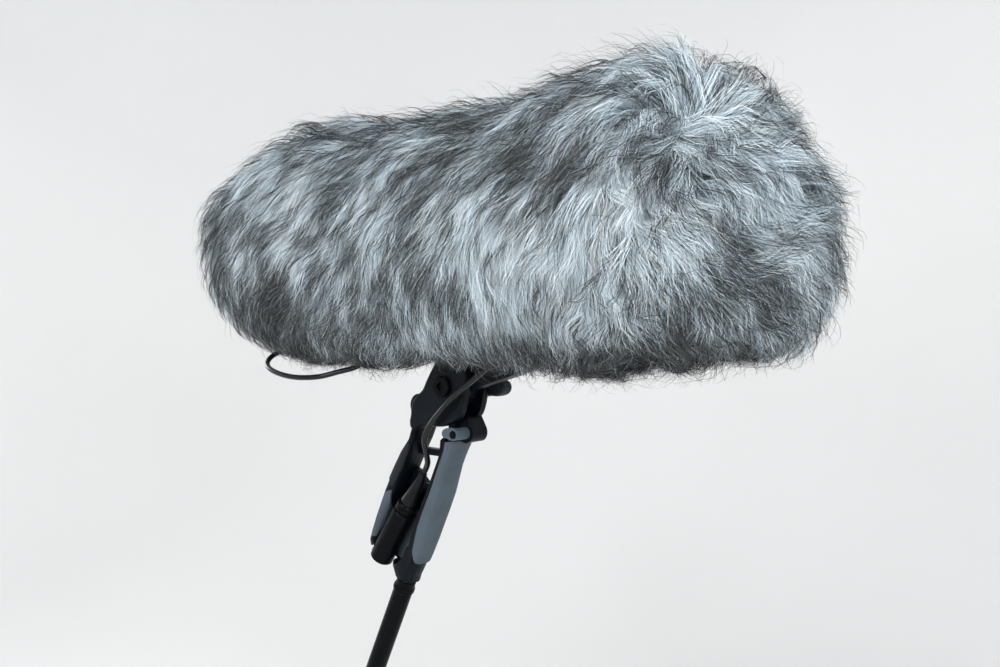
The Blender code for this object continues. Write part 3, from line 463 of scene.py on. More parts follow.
def puffed(points):
    """Points moved outward where the pile stands up, and inward where it lies flat."""
    normal = outward(points)
    x = points[..., 0]
    facing_front, facing_up = normal[..., 0], normal[..., 2]
    saddle = smoothstep(-0.115, -0.075, x) * smoothstep(-0.115, -0.075, -x)
    swell = TOP_SWELL * smoothstep(0.0, 0.9, facing_up) * (1 - saddle)
    swell -= CHIN_FLAT * smoothstep(0.7, 0.95, -facing_up) * smoothstep(0.115, 0.165, x)
    for way, (low, high), amount in CORNERS:
        swell += amount * MM * smoothstep(low, high, normal @ unit(np.array(way)))
    swell += BROW_SWELL * smoothstep(0.3, 0.9, facing_up) * smoothstep(0.10, 0.18, x)
    swell += REAR_SWELL * smoothstep(0.15, 0.95, -facing_front)
    swell += FRONT_SWELL * smoothstep(0.3, 0.9, facing_front)
    share = smoothstep(*SURFACE_LAYER, level(points))
    return points + normal * (swell * share)[..., None]


# ---------------------------------------------------------------- how the pile lies
# The opening in the underside where the shoe and the neck come out.
OPENING_CENTRE = (12 * MM, 0.5 * MM)
OPENING_HALF = (77 * MM, 30 * MM)
COMB_REACH = 22 * MM
# The strokes of the comb: distance along the axis, degrees round it from the top, heading.
COMB = [
    (-165, 85, -45), (-150, 120, -50), (-125, 50, -15), (-75, 100, -45), (-75, 135, -40),
    (-60, 25, -15), (15, 70, -30), (30, 115, -25), (20, 30, -25), (100, 60, -35),
    (140, 85, -35), (115, 120, -20), (160, 60, -45), (145, 30, -45), (180, 40, -50),
    (205, 45, -45), (200, 65, -25), (185, 80, -45), (180, 95, 0), (180, 115, 5),
    (210, 80, 40), (225, 65, 60), (240, 80, 45), (210, 100, 25), (225, 120, 15),
    (232, 110, 45), (248, 140, 45), (225, 135, 25), (205, 145, -15), (250, 55, 80),
    (240, 25, 125), (200, 20, -145), (220, 5, -170), (230, 50, 140), (240, -155, -85),
    (262, -120, -110), (258, -10, 10), (243, -5, 0),
]


def comb_strokes():
    """Each stroke of the comb as a place and a direction.

    A stroke is given by its distance along the axis in millimetres, the degrees round the axis from
    the top towards the near side, and its heading in degrees from straight down the side towards
    the front end.
    """
    strokes = []
    for x, around, heading in COMB:
        along = max(abs(x) * MM - (HALF_LENGTH - RADIUS), 0) / RADIUS
        radius = RADIUS * max(0.0, 1 - along**CAP_POWER) ** (1 / CAP_POWER)
        turn = math.radians(around)
        place = np.array((x * MM, -radius * math.sin(turn), radius * math.cos(turn)))
        down = math.copysign(1, around) * np.array((0, -math.cos(turn), -math.sin(turn)))
        forward = np.cross(outward(place), down)
        forward *= math.copysign(1, forward[0])
        way = math.radians(heading)
        strokes.append((place, math.cos(way) * down + math.sin(way) * forward))
    return strokes


STROKES = comb_strokes()
WHORL = np.array((215, -69, 48)) * MM
WHORL_REACH = 28 * MM


def combed(points):
    """The direction in which the pile lies: down and rearward, and near a stroke as the comb says."""
    normal = outward(points)
    high = points[..., 2] / RADIUS
    flow = np.zeros_like(points)
    flow[..., 0] = -0.12 - 0.75 * smoothstep(-0.35, 0.85, high)
    flow[..., 2] = -1.0
    flow = 0.25 * unit(flow)
    for place, way in STROKES:
        gap = np.sum((points - place) ** 2, axis=-1)
        flow = flow + np.exp(-gap / (2 * COMB_REACH**2))[..., None] * way
    flow = unit(flow)
    ruffle = 0.20 + 0.25 * smoothstep(0.12, 0.2, points[..., 0])
    ruffle += 0.3 * np.exp(-np.sum((points - WHORL) ** 2, axis=-1) / WHORL_REACH**2)
    for axis in range(3):
        flow[..., axis] += 0.24 * waves(points, 75 * MM, 11 + axis)
        flow[..., axis] += ruffle * waves(points, 30 * MM, 21 + axis)
        flow[..., axis] += 0.6 * ruffle * waves(points, 13 * MM, 61 + axis)
    flow -= normal * np.sum(flow * normal, axis=-1, keepdims=True)
    return unit(flow)


HANG = 0.28
HOLD_BACK = 0.85


def guide_paths(roots, lengths, stand, steps, limit, astray):
    """Paths of locks: they rise, bend over along the comb, hang a little and stay in the pile.

    The limit is the level at which a path is held back.
    """
    path = [roots]
    point = roots.copy()
    for step in range(steps):
        t = (step + 0.5) / steps
        normal = outward(point)
        rise = 1.25 * (1 - t) ** 1.6 + stand[:, None] * (0.35 + 0.65 * t)
        direction = unit(normal * rise + combed(point) + astray)
        direction[:, 2] -= HANG * t
        point = point + unit(direction) * (lengths / steps)[:, None]
        excess = np.maximum(level(point) - limit, 0)[:, None]
        point = point - outward(point) * excess * RADIUS * HOLD_BACK
        path.append(point.copy())
    return np.stack(path, axis=1)


def in_opening(points, margin):
    """True where a root would lie over the neck opening under the cover."""
    along = np.abs((points[:, 0] - OPENING_CENTRE[0]) / (OPENING_HALF[0] + margin)) ** 5
    across = np.abs((points[:, 1] - OPENING_CENTRE[1]) / (OPENING_HALF[1] + margin)) ** 5
    return (along + across < 1) & (points[:, 2] < 0)


# How far hair may stand past the plain cover, in each direction.
GROWTH = np.array((24.5, 14.8, 23.0)) * MM


def strand_mesh(name, paths, widths, shades, rolls):
    """One mesh of flat tapering ribbons; its map holds the shade across and root to tip along."""
    count, knots, _ = paths.shape
    tangent = unit(np.gradient(paths, axis=1))
    normal = outward(paths)
    side = unit(np.cross(tangent, normal))
    up = np.cross(side, tangent)
    twist = rolls[:, None, None]
    across = side * np.cos(twist) + up * np.sin(twist)
    t = np.linspace(0, 1, knots)
    taper = np.minimum(1.0, 0.55 + 1.6 * t) * (1 - t**2.2) ** 0.8
    half = widths[:, None, None] * taper[None, :, None] / 2
    paths = puffed(paths)
    pairs = np.empty((count, knots - 1, 2, 3))
    pairs[:, :, 0] = (paths - across * half)[:, :-1]
    pairs[:, :, 1] = (paths + across * half)[:, :-1]
    per_strand = 2 * (knots - 1) + 1
    vertices = np.concatenate([pairs.reshape(count, -1, 3), paths[:, -1:, :]], axis=1)
    vertices = vertices.reshape(-1, 3)
    vertices = np.clip(vertices, FUR_LOW - AXIS - GROWTH, FUR_HIGH - AXIS + GROWTH)
    base = np.arange(count)[:, None] * per_strand
    quads = np.array([[2 * k, 2 * k + 1, 2 * k + 3, 2 * k + 2] for k in range(knots - 2)]).ravel()
    tip = np.array([2 * knots - 4, 2 * knots - 3, 2 * knots - 2])
    loops = np.concatenate([base + quads[None, :], base + tip[None, :]], axis=1).ravel()
    sizes = np.tile(np.array([4] * (knots - 2) + [3]), count)
    starts = np.concatenate([[0], np.cumsum(sizes)[:-1]])
    mesh = bpy.data.meshes.new(name)
    mesh.vertices.add(len(vertices))
    mesh.vertices.foreach_set("co", (vertices + AXIS).astype(np.float32).ravel())
    mesh.loops.add(len(loops))
    mesh.loops.foreach_set("vertex_index", loops.astype(np.int32))
    mesh.polygons.add(len(sizes))
    mesh.polygons.foreach_set("loop_start", starts.astype(np.int32))
    mesh.update(calc_edges=True)
    local = loops.reshape(count, -1) - base
    is_tip = local == per_strand - 1
    right = (local % 2 == 1) & ~is_tip
    u = (shades[:, None] + np.where(is_tip, 0.5, np.where(right, 0.9, 0.1))) / SHADES
    v = np.where(is_tip, 1.0, (local // 2) / (knots - 1))
    layer = mesh.uv_layers.new(name="OFBake")
    layer.data.foreach_set("uv", np.stack([u, v], axis=-1).astype(np.float32).ravel())
    mesh.shade_smooth()
    return mesh


LOCKS = 19000
LOCK_LENGTH = 44
LOCK_RADIUS = 4.4 * MM
HAIRS_PER_LOCK = 23
PILE_KNOTS = 5
PILE_PIECES = 18
PILE_DEPTH = 25 * MM
PILE_WIDTHS = (0.24, 0.42)
FRONT_END = (0.15, 0.24)


def grow_pile(material):
    """The pile: locks spread evenly over the cover, each a bundle of hairs that gather at its tip."""
    random = np.random.default_rng(5)
    roots = spread_points(LOCKS, PILE_DEPTH)
    roots = roots[~in_opening(roots, 2 * MM)]
    count = len(roots)
    front = smoothstep(*FRONT_END, roots[:, 0])
    lengths = LOCK_LENGTH + 8 * waves(roots, 40 * MM, 3) + random.normal(0, 4, count) + 3 * front
    lengths = lengths * MM
    stand = 0.12 + 0.10 * waves(roots, 45 * MM, 4) + 0.22 * front + random.normal(0, 0.07, count)
    stand = np.clip(stand, 0.02, 0.9)
    under = smoothstep(0.35, 0.85, -roots[:, 2] / (RADIUS - PILE_DEPTH))
    limit = 0.985 - 0.06 * under + 0.025 * waves(roots, 30 * MM, 6)
    limit += (0.015 + 0.03 * under + 0.02 * front) * random.normal(size=count)
    astray = random.normal(0, 1, (count, 3)) * (0.15 + 0.17 * front)[:, None]
    limit = np.clip(limit, 0.86, 1.06)
    guides = guide_paths(roots, lengths, stand, PILE_KNOTS - 1, limit, astray)
    seen = guides[:, -2]
    dark = dark_and_shade_share(seen)
    bright = patches(seen, BRIGHT_PATCHES)
    order = np.argsort(roots[:, 0])
    for piece, chunk in enumerate(np.array_split(order, PILE_PIECES)):
        name = f"fur_pile_{piece + 1:02d}"
        mesh = lock_hairs(name, guides[chunk], dark[chunk], bright[chunk], random)
        make_piece(name, mesh, "windshield", material)


MIDDLE_TONE = 6.0  # the shade of most underfur hairs
DARK_HAIRS = 0.45  # the share of dark hairs in a wholly dark lock
# Patches: middle x, y, z and size in millimetres, and strength.
DARK_PATCHES = [
    (135, -90, 26, 28, 0.2), (110, -80, 52, 24, 0.15), (240, -50, 28, 15, 0.5),
    (248, -32, -45, 16, 1.0), (205, -10, 92, 25, 0.35), (-160, -76, -58, 32, 0.6),
    (60, -80, 45, 24, 0.3), (190, -50, -78, 40, 0.45), (200, -88, 34, 12, 0.5),
    (212, -82, 20, 10, 0.4), (225, -70, -60, 22, 0.3), (-70, -90, 36, 18, 0.25),
    (20, -96, -10, 16, 0.25),
]
BRIGHT_PATCHES = [
    (117, -90, -38, 30, 0.45), (190, -94, -6, 26, 0.9), (-95, -92, 30, 24, 0.3),
    (255, -25, -15, 20, 0.5), (222, -66, 55, 22, 0.6), (160, -84, -48, 24, 0.4),
    (-20, -94, 26, 22, 0.2), (-150, -88, 44, 22, 0.3),
]


def patches(points, table):
    """How strongly the patches of a table show at each point."""
    total = np.zeros(len(points))
    for x, y, z, size, amount in table:
        gap = np.linalg.norm(points / MM - np.array((x, y, z)), axis=1)
        total += amount * np.exp(-((gap / size) ** 2))
    return total


def dark_and_shade_share(seen):
    """The share of dark hairs where a lock shows: fine streaks, more below for dark tips and painted
    shade, and the patches.
    """
    streaks = smoothstep(0.1, 0.9, waves(seen * np.array((1.0, 0.5, 0.5)), 17 * MM, 31))
    share = 0.08 + 0.20 * streaks
    # More dark hairs towards the bottom: the fur's own dark tips together with painted shade under
    # the cover.
    share += 0.20 * smoothstep(-0.6, -0.95, seen[:, 2] / RADIUS)
    share += 0.10 * smoothstep(0.7, 0.98, seen[:, 2] / RADIUS)
    share += patches(seen, DARK_PATCHES) - patches(seen, BRIGHT_PATCHES)
    return np.clip(share, 0.02, 0.9)


def lock_hairs(name, guides, dark, bright, random):
    """The hairs of some locks as one mesh: mostly light underfur, and dark hairs in dark locks."""
    locks, knots, _ = guides.shape
    hairs = HAIRS_PER_LOCK
    total = locks * hairs
    normal = outward(guides)
    side = unit(np.cross(unit(np.gradient(guides, axis=1)), normal))
    t = np.linspace(0, 1, knots)[None, None, :, None]
    radius = np.sqrt(random.uniform(0, 1, (locks, hairs))) * LOCK_RADIUS
    turn = random.uniform(0, 2 * math.pi, (locks, hairs))
    pull = np.clip(random.normal(0.40, 0.2, (locks, 1)), 0.0, 0.9)
    gather = 1 - pull[:, :, None, None] * t**1.3
    first = side[:, None, :1, :]
    second = np.cross(first, normal[:, None, :1, :])
    offset = radius[..., None, None] * (
        np.cos(turn)[..., None, None] * first + np.sin(turn)[..., None, None] * second
    )
    paths = guides[:, None] + offset * gather
    reach = random.uniform(0.72, 1.08, (locks, hairs))
    paths = paths[:, :, :1] + (paths - paths[:, :, :1]) * (1 + (reach[..., None, None] - 1) * t)
    sway = random.normal(0, 4.0 * MM, (locks, hairs))[..., None, None]
    lift = random.normal(0.2 * MM, 1.0 * MM, (locks, hairs))[..., None, None]
    wave = random.uniform(0, 2 * math.pi, (locks, hairs))[..., None, None]
    paths = paths + side[:, None] * (sway * t**2 + 1.1 * MM * np.sin(9 * t + wave) * t)
    paths = (paths + normal[:, None] * (lift * t**2)).reshape(total, knots, 3)
    is_dark = random.uniform(0, 1, (locks, hairs)) < dark[:, None] * DARK_HAIRS
    tone = MIDDLE_TONE + waves(guides[:, 0], 38 * MM, 41) + 1.2 * waves(guides[:, 0], 12 * MM, 42)
    tone = (tone - 1.5 * dark + 4.0 * bright)[:, None] + random.normal(0, 3.5, (locks, hairs))
    tone = np.clip(tone, 0, LIGHT_SHADES - 0.01)
    deep = LIGHT_SHADES + random.uniform(0, 4.99, (locks, hairs))
    shades = np.floor(np.where(is_dark, deep, tone)).reshape(total)
    widths = random.uniform(*PILE_WIDTHS, total) * MM
    return strand_mesh(name, paths, widths, shades, random.normal(0, 0.7, total))


GUARD_TUFTS = 13000
GUARD_HAIRS_PER_TUFT = 6
GUARD_KNOTS = 7
GUARD_PIECES = 6
GUARD_DEPTH = 20 * MM
GUARD_LENGTHS = (30, 50)
GUARD_WIDTHS = (0.38, 0.62)


def grow_guard_hairs(material):
    """Fine dark guard hairs over the pile, in tufts that draw the dark streaks and the fringe."""
    random = np.random.default_rng(17)
    roots = spread_points(GUARD_TUFTS * 2, GUARD_DEPTH, 0.61)
    roots = roots[~in_opening(roots, 3 * MM)]
    count = len(roots)
    front = smoothstep(*FRONT_END, roots[:, 0])
    lengths = random.uniform(*GUARD_LENGTHS, count) * MM
    stand = 0.12 + random.uniform(0, 0.16, count) + 0.2 * front * random.uniform(0, 1, count)
    limit = 1.0 + random.uniform(-0.02, 0.045, count) + 0.03 * front
    astray = random.normal(0, 1, (count, 3)) * (0.22 + 0.22 * front)[:, None]
    guides = guide_paths(roots, lengths, stand, GUARD_KNOTS - 1, limit, astray)
    seen = guides[:, -3]
    # Guard tufts follow this share, so they too carry the painted shade towards the bottom.
    wanted = 0.26 + 0.9 * dark_and_shade_share(seen) - 0.35 * patches(seen, BRIGHT_PATCHES)
    guides = guides[random.uniform(0, 1, count) < wanted]
    order = np.argsort(guides[:, 0, 0])
    for piece, chunk in enumerate(np.array_split(order, GUARD_PIECES)):
        name = f"fur_guard_{piece + 1:02d}"
        mesh = guard_hairs(name, guides[chunk], random)
        make_piece(name, mesh, "windshield", material)


def guard_hairs(name, guides, random):
    """The guard hairs of some tufts, as one mesh."""
    tufts, knots, _ = guides.shape
    hairs = GUARD_HAIRS_PER_TUFT
    side = unit(np.cross(unit(np.gradient(guides, axis=1)), outward(guides)))[:, None]
    t = np.linspace(0, 1, knots)[None, None, :, None]
    spread = random.normal(0, 2.6 * MM, (tufts, hairs))[..., None, None]
    slide = random.normal(0, 4.0 * MM, (tufts, hairs))[..., None, None]
    bend = random.normal(0, 3.4 * MM, (tufts, hairs))[..., None, None]
    curl = random.uniform(0, 2 * math.pi, (tufts, hairs))[..., None, None]
    along = unit(np.gradient(guides, axis=1))[:, None]
    swing = spread * (1 - 0.6 * t) + bend * t**2 + 1.0 * MM * np.sin(7 * t + curl) * t
    paths = guides[:, None] + side * swing + along * slide * t
    paths = paths.reshape(tufts * hairs, knots, 3)
    shades = np.floor(random.uniform(LIGHT_SHADES + 0.3, SHADES - 0.01, tufts * hairs))
    widths = random.uniform(*GUARD_WIDTHS, tufts * hairs) * MM
    return strand_mesh(name, paths, widths, shades, random.normal(0, 0.7, tufts * hairs))


STRAYS = 9000
STRAY_DEPTH = 18 * MM
STRAY_STEPS = 7
STRAY_LENGTHS = (30, 56)
STRAY_WIDTHS = (0.22, 0.40)
STRAY_FRONT = (0.12, 0.22)


def grow_strays(material):
    """Long dark hairs that stand clear of the pile: most in front, on top and along the bottom."""
    random = np.random.default_rng(9)
    roots = spread_points(STRAYS * 3, STRAY_DEPTH, 0.37)
    high = roots[:, 2] / RADIUS
    ahead = roots[:, 0] / HALF_LENGTH
    wanted = 0.08 + 0.8 * smoothstep(0.55, 0.95, ahead) + 0.6 * smoothstep(-0.55, -0.8, high)
    wanted += 0.6 * smoothstep(0.45, 0.8, high) * smoothstep(0.1, 0.6, ahead)
    wanted += 0.14 * smoothstep(0.6, 0.8, high) + 0.15 * smoothstep(-0.6, -0.9, ahead)
    keep = (random.uniform(0, 1, len(roots)) < wanted) & ~in_opening(roots, 6 * MM)
    roots = roots[keep]
    count = len(roots)
    front = smoothstep(*STRAY_FRONT, roots[:, 0])
    lengths = random.uniform(*STRAY_LENGTHS, count) * MM
    stand = random.uniform(0.1, 0.5, count) + front * random.uniform(0.1, 0.7, count)
    astray = random.normal(0, 1, (count, 3)) * (0.25 + 0.25 * front)[:, None]
    limit = random.uniform(1.0, 1.15, count)
    guides = guide_paths(roots, lengths, stand, STRAY_STEPS, limit, astray)
    t = np.linspace(0, 1, guides.shape[1])[None, :, None]
    side = unit(np.cross(unit(np.gradient(guides, axis=1)), outward(guides)))
    bend = random.normal(0, 1, count)[:, None, None] * (3 + 5 * front)[:, None, None] * MM
    curl = random.uniform(0, 2 * math.pi, count)[:, None, None]
    swing = (0.4 + 1.6 * front)[:, None, None] * MM
    guides = guides + side * (bend * t**2 + swing * np.sin(8 * t + curl) * t)
    shades = np.floor(random.uniform(LIGHT_SHADES, SHADES - 0.01, count))
    widths = random.uniform(*STRAY_WIDTHS, count) * MM
    mesh = strand_mesh("fur_strays", guides, widths, shades, random.normal(0, 0.8, count))
    make_piece("fur_strays", mesh, "windshield", material)


def undercoat_and_shade_material():
    """Dense underfur seen between the hairs, darker than the pile: partly its own colour, partly
    painted shade in the gaps between locks.
    """
    made = Material("fur_undercoat", 0.95, Sheen_Weight=0.4)
    # Dark blue-grey underfur: its own tone together with painted shade deep between the locks.
    stops = [(0.3, (0.15, 0.18, 0.20)), (0.6, (0.29, 0.34, 0.38)), (0.8, (0.40, 0.46, 0.50))]
    made.colour(made.noise(55.0, 6.0), stops)
    made.bump(made.noise(700.0, 4.0, (0.4, 1, 1)), 0.8 * MM, 0.9)
    return made.material


def capsule_mesh(name, x, r, sides, shaped=None):
    """A closed skin turned about the windshield's axis through points (x, radius), pole to pole."""
    turn = 2 * math.pi * np.arange(sides) / sides
    grid = np.empty((len(x), sides, 3))
    grid[..., 0] = x[:, None]
    grid[..., 1] = r[:, None] * np.cos(turn)
    grid[..., 2] = r[:, None] * np.sin(turn)
    if shaped is not None:
        grid = shaped(grid)
    grid = grid + AXIS
    body = bmesh.new()
    rings = [[body.verts.new(Vector(point)) for point in ring] for ring in grid]
    join_rings(body, rings)
    for ring in (rings[0], rings[-1]):
        middle = sum((vertex.co for vertex in ring), Vector()) / sides
        pole = body.verts.new(middle)
        for i in range(sides):
            body.faces.new((ring[i], ring[(i + 1) % sides], pole))
    bmesh.ops.recalc_face_normals(body, faces=body.faces)
    return finished_mesh(name, body)


UNDERCOAT_DEPTH = 20 * MM
UNDERCOAT_SIDES = 96
CAP_RINGS = 24
BODY_RINGS = 44


def undercoat():
    """The dense lower pile as one lumpy thick body."""
    x, r = cap_profile(UNDERCOAT_DEPTH, CAP_RINGS)
    front, rear = slice(1, CAP_RINGS), slice(CAP_RINGS, -1)
    straight = np.linspace(x[CAP_RINGS - 1], x[CAP_RINGS], BODY_RINGS + 2)[1:-1]
    x = np.concatenate([x[front], straight, x[rear]])
    r = np.concatenate([r[front], np.full(BODY_RINGS, r[CAP_RINGS - 1]), r[rear]])

    def lumpy(grid):
        bumps = waves(grid, 14 * MM, 51) * 1.4 * MM + waves(grid, 40 * MM, 52) * 1.6 * MM
        return puffed(grid + outward(grid) * bumps[..., None])

    return capsule_mesh("fur_undercoat", x, r, UNDERCOAT_SIDES, lumpy)


LINING_RADIUS = 55 * MM
LINING_HALF_LENGTH = 214 * MM
LINING_STEPS = 15
LINING_SIDES = 64


def lining_tool():
    """A closed capsule that hollows the undercoat."""
    angle = np.linspace(0, math.pi / 2, LINING_STEPS)[1:]
    end = LINING_HALF_LENGTH - LINING_RADIUS
    along = end + LINING_RADIUS * np.cos(angle) ** (2 / CAP_POWER)
    across = LINING_RADIUS * np.sin(angle) ** (2 / CAP_POWER)
    x = np.concatenate([along, -along[::-1]])
    return capsule_mesh("lining_tool", x, np.concatenate([across, across[::-1]]), LINING_SIDES)


CUT_LOW = -130 * MM
CUT_HIGH = -40 * MM


def prism_tool(name, outline):
    """A vertical prism through the underside, over an outline of x, y points from the axis."""
    body = bmesh.new()
    rings = []
    for height in (CUT_LOW, CUT_HIGH):
        rings.append([body.verts.new(Vector(AXIS) + Vector((x, y, height))) for x, y in outline])
    join_rings(body, rings)
    body.faces.new(rings[0])
    body.faces.new(list(reversed(rings[1])))
    bmesh.ops.recalc_face_normals(body, faces=body.faces)
    return finished_mesh(name, body, smooth=False)


def cut_with(piece, mesh):
    """Cuts a tool mesh out of a piece and leaves the result in the piece's own mesh."""
    tool = make_object("tool", mesh)
    change = piece.modifiers.new("cut", "BOOLEAN")
    change.operation = "DIFFERENCE"
    change.solver = "EXACT"
    change.object = tool
    graph = bpy.context.evaluated_depsgraph_get()
    result = bpy.data.meshes.new_from_object(piece.evaluated_get(graph))
    piece.modifiers.clear()
    piece.data = result
    bpy.data.objects.remove(tool, do_unlink=True)


OUTLINE_STEPS = 48
SLIT_REAR = -240 * MM
SLIT_FRONT = -50 * MM
SLIT_HALF = 6.5 * MM


def opening_outline():
    """The rounded rectangle of the opening in the underside."""
    outline = []
    for step in range(OUTLINE_STEPS):
        angle = 2 * math.pi * step / OUTLINE_STEPS
        x = math.copysign(abs(math.cos(angle)) ** 0.4, math.cos(angle))
        y = math.copysign(abs(math.sin(angle)) ** 0.4, math.sin(angle))
        place = (OPENING_CENTRE[0] + OPENING_HALF[0] * x, OPENING_CENTRE[1] + OPENING_HALF[1] * y)
        outline.append(place)
    return outline


def make_undercoat():
    """The undercoat, hollow, with the opening for the neck and the slit that the strip closes."""
    piece = make_object("fur_undercoat", undercoat())
    piece.data.materials.append(undercoat_and_shade_material())
    slit = [
        (SLIT_REAR, -SLIT_HALF), (SLIT_REAR, SLIT_HALF), (SLIT_FRONT, SLIT_HALF),
        (SLIT_FRONT, -SLIT_HALF),
    ]
    cut_with(piece, lining_tool())
    cut_with(piece, prism_tool("opening_tool", opening_outline()))
    cut_with(piece, prism_tool("slit_tool", slit))
    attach(piece, "windshield")
    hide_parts("fur_cover")


# ---------------------------------------------------------------- assembling the looks
# Each material slot: how it is made, and with what colour, roughness, grain and shine.
FINISHES = {
    "black_plastic": (moulded, dict(
        colour=(0.002, 0.0035, 0.0055), roughness=0.34, Specular_IOR_Level=0.1,
    )),
    "dark_plastic": (moulded, dict(
        colour=(0.010, 0.013, 0.016), roughness=0.5, grain=700.0, depth=0.08 * MM,
        Specular_IOR_Level=0.2,
    )),
    # Soft grey is the soft grip insert's own colour; on the lower pad of the rear leg it is a painted
    # highlight on the dark leg's curved face.
    "soft_grey": (moulded, dict(
        colour=(0.049, 0.066, 0.082), roughness=0.62, grain=1400.0, depth=0.04 * MM,
        Specular_IOR_Level=0.35,
    )),
    "charcoal": (moulded, dict(
        colour=(0.007, 0.009, 0.011), roughness=0.6, grain=1400.0, depth=0.04 * MM,
        Specular_IOR_Level=0.2,
    )),
    "blue_grey": (moulded, dict(
        colour=(0.050, 0.072, 0.088), roughness=0.5, Specular_IOR_Level=0.35,
    )),
    "black_metal": (anodised, dict(colour=(0.0013, 0.0014, 0.0018), roughness=0.28)),
    "bright_metal": (metal, dict(colour=(0.62, 0.62, 0.60), roughness=0.28)),
    "brass": (metal, dict(colour=(0.60, 0.46, 0.2), roughness=0.34)),
    "black_rubber": (moulded, dict(
        colour=(0.003, 0.0035, 0.004), roughness=0.36, grain=500.0, depth=0.03 * MM,
        Specular_IOR_Level=0.15,
    )),
    "cream_nylon": (moulded, dict(colour=(0.52, 0.47, 0.39), roughness=0.62, grain=800.0)),
    "black_cloth": (woven, dict(colour=(0.012, 0.012, 0.013))),
    "red_elastomer": (moulded, dict(colour=(0.30, 0.02, 0.016), roughness=0.5)),
    "grey_fur": (moulded, dict(colour=(0.30, 0.34, 0.37), roughness=0.9)),
}


def finish_cad_nodes():
    """Gives every CAD node that shows the finish of its material slot."""
    made = {}
    for part in frame["record"]["subparts"]:
        slot = part["material_slot"]
        if slot not in made:
            maker, looks = FINISHES[slot]
            made[slot] = maker("finish_" + slot, **looks)
        thing = frame["nodes"][part["node"]]
        thing.data.materials.clear()
        thing.data.materials.append(made[slot])
        for face in thing.data.polygons:
            face.material_index = 0


def make_cable():
    """The outer cable: a round tube along its route from the windshield to the handle."""
    route = [from_axis(*point) for point in smooth_route(CABLE_ROUTE, ROUTE_STEPS)]
    made = Material("cable_jacket", 0.2, Specular_IOR_Level=0.3)
    stops = [(0.3, (0.0015, 0.002, 0.0026)), (0.7, (0.003, 0.0038, 0.0048))]
    made.colour(made.noise(60.0, 4.0), stops)
    made.roughness(made.noise(240.0, 4.0), 0.14, 0.27)
    made.bump(made.noise(260.0, 2.0), 0.02 * MM, 0.4)
    mesh = tube_mesh("cable_run", route, CABLE_DIAMETER / 2, CABLE_SIDES)
    cable = make_piece("cable_run", mesh, None, made.material)
    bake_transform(cable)
    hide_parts("microphone_cable")


CONNECTOR_AXIS = (-0.552, 0, -0.834)
LATCH_SIZE = (3.6 * MM, 5.2 * MM, 1.6 * MM)
LATCH_BACK = 4.6 * MM
LATCH_SUNK = 0.2 * MM
LATCH_ROUND = 0.7 * MM
RIM_DEPTH = 1 * MM


def make_latch():
    """The small bright latch button beside the open end of the connector."""
    axis = Vector(CONNECTOR_AXIS).normalized()
    shell = frame["nodes"]["connector_shell"]
    points = [shell.matrix_world @ vertex.co for vertex in shell.data.vertices]
    farthest = max(point.dot(axis) for point in points)
    rim = [point for point in points if farthest - point.dot(axis) < RIM_DEPTH]
    centre = sum(rim, Vector()) / len(rim)
    radius = max((point - centre).length for point in rim)
    outer = (0.85 * Vector((0, 1, 0)).cross(axis) + Vector((0, -0.5, 0))).normalized()
    across = axis.cross(outer)
    body = bmesh.new()
    bmesh.ops.create_cube(body, size=1.0)
    turn = Matrix((across, axis, outer)).transposed().to_4x4()
    size = Matrix.Diagonal((*LATCH_SIZE, 1))
    place = Matrix.Translation(centre - LATCH_BACK * axis + (radius - LATCH_SUNK) * outer)
    bmesh.ops.transform(body, matrix=place @ turn @ size, verts=body.verts)
    bmesh.ops.bevel(
        body, geom=body.edges, offset=LATCH_ROUND, segments=4, profile=0.6, affect="EDGES"
    )
    bmesh.ops.recalc_face_normals(body, faces=body.faces)
    mesh = finished_mesh("connector_latch", body)
    make_piece("connector_latch", mesh, "handle", metal("latch_metal", (0.80, 0.80, 0.78), 0.2))


# ---------------------------------------------------------------- studio
FLOOR_DROP = 0.35
FLOOR_RADIUS = 1.1
SWEEP = 0.7
SWEEP_STEPS = 12
WALL_HEIGHTS = (1.6, 2.6)
BACKDROP_SIDES = 96


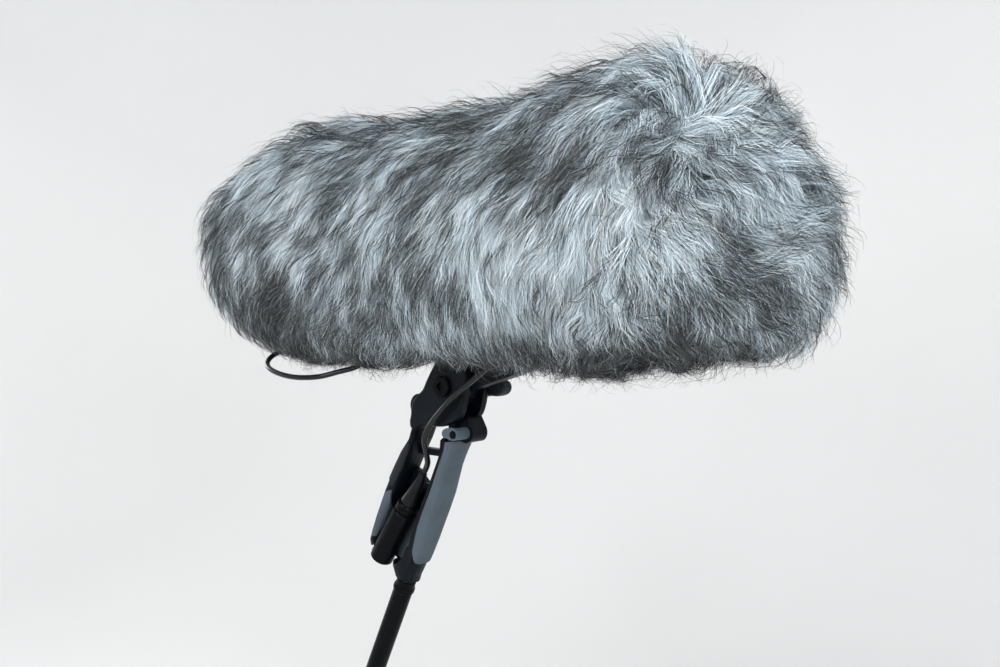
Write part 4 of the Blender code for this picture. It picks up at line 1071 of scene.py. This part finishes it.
def make_studio():
    """A round pale backdrop: floor and wall in one sweep, open at the top."""
    floor = cad_low[2] - FLOOR_DROP
    profile = [(0.6, floor), (FLOOR_RADIUS, floor)]
    for step in range(1, SWEEP_STEPS + 1):
        angle = math.pi / 2 * step / SWEEP_STEPS
        radius = FLOOR_RADIUS + SWEEP * math.sin(angle)
        profile.append((radius, floor + SWEEP * (1 - math.cos(angle))))
    profile += [(FLOOR_RADIUS + SWEEP, height) for height in WALL_HEIGHTS]
    centre = Vector((AXIS[0], 0, 0))
    body = bmesh.new()
    rings = []
    for radius, height in profile:
        ring = []
        for step in range(BACKDROP_SIDES):
            angle = 2 * math.pi * step / BACKDROP_SIDES
            spoke = Vector((radius * math.cos(angle), radius * math.sin(angle), height))
            ring.append(body.verts.new(centre + spoke))
        rings.append(ring)
    middle = body.verts.new(centre + Vector((0, 0, floor)))
    for vertex, following in zip(rings[0], rings[0][1:] + rings[0][:1]):
        body.faces.new((middle, vertex, following))
    join_rings(body, rings[::-1])
    bmesh.ops.recalc_face_normals(body, faces=body.faces)
    backdrop = make_object("backdrop", finished_mesh("backdrop", body))
    made = Material("backdrop_paint", 0.9)
    made.colour(made.noise(1.2, 2.0), [(0.3, (0.785, 0.775, 0.765)), (0.7, (0.82, 0.81, 0.80))])
    backdrop.data.materials.append(made.material)


# Soft round lights: name, place, width in metres, watts and colour.
LIGHTS = [
    ("key_light", (0.2, -1.35, 0.95), 1.1, 20, (0.95, 0.98, 1.0)),
    ("side_light", (1.4, -0.5, 0.75), 0.9, 13, (0.88, 0.95, 1.0)),
    ("edge_light", (-1.16, -0.15, 0.57), 0.4, 4, (1, 1, 1)),
    ("rim_light", (-0.9, 0.8, 1.3), 0.9, 4, (1, 1, 1)),
]
SKY_COLOUR = (0.90, 0.955, 1.0, 1)
SKY_STRENGTH = 0.57


def area_light(name, place, size, power, colour):
    """A round soft light that faces the middle of the windshield."""
    data = bpy.data.lights.new(name, "AREA")
    data.shape = "DISK"
    data.size = size
    data.energy = power
    data.color = colour
    light = bpy.data.objects.new(name, data)
    light.location = place
    light.rotation_euler = (Vector(AXIS) - Vector(place)).to_track_quat("-Z", "Y").to_euler()
    bpy.context.scene.collection.objects.link(light)


def make_lights():
    """An even pale sky and the lights."""
    world = bpy.data.worlds.new("sky")
    world.use_nodes = True
    sky = world.node_tree.nodes["Background"]
    sky.inputs["Color"].default_value = SKY_COLOUR
    sky.inputs["Strength"].default_value = SKY_STRENGTH
    bpy.context.scene.world = world
    for light in LIGHTS:
        area_light(*light)


bpy.context.scene.view_settings.view_transform = "Standard"
make_studio()
make_lights()
finish_cad_nodes()
make_cable()
make_latch()
make_undercoat()
pile = fur_material()
grow_pile(pile)
grow_guard_hairs(pile)
grow_strays(pile)
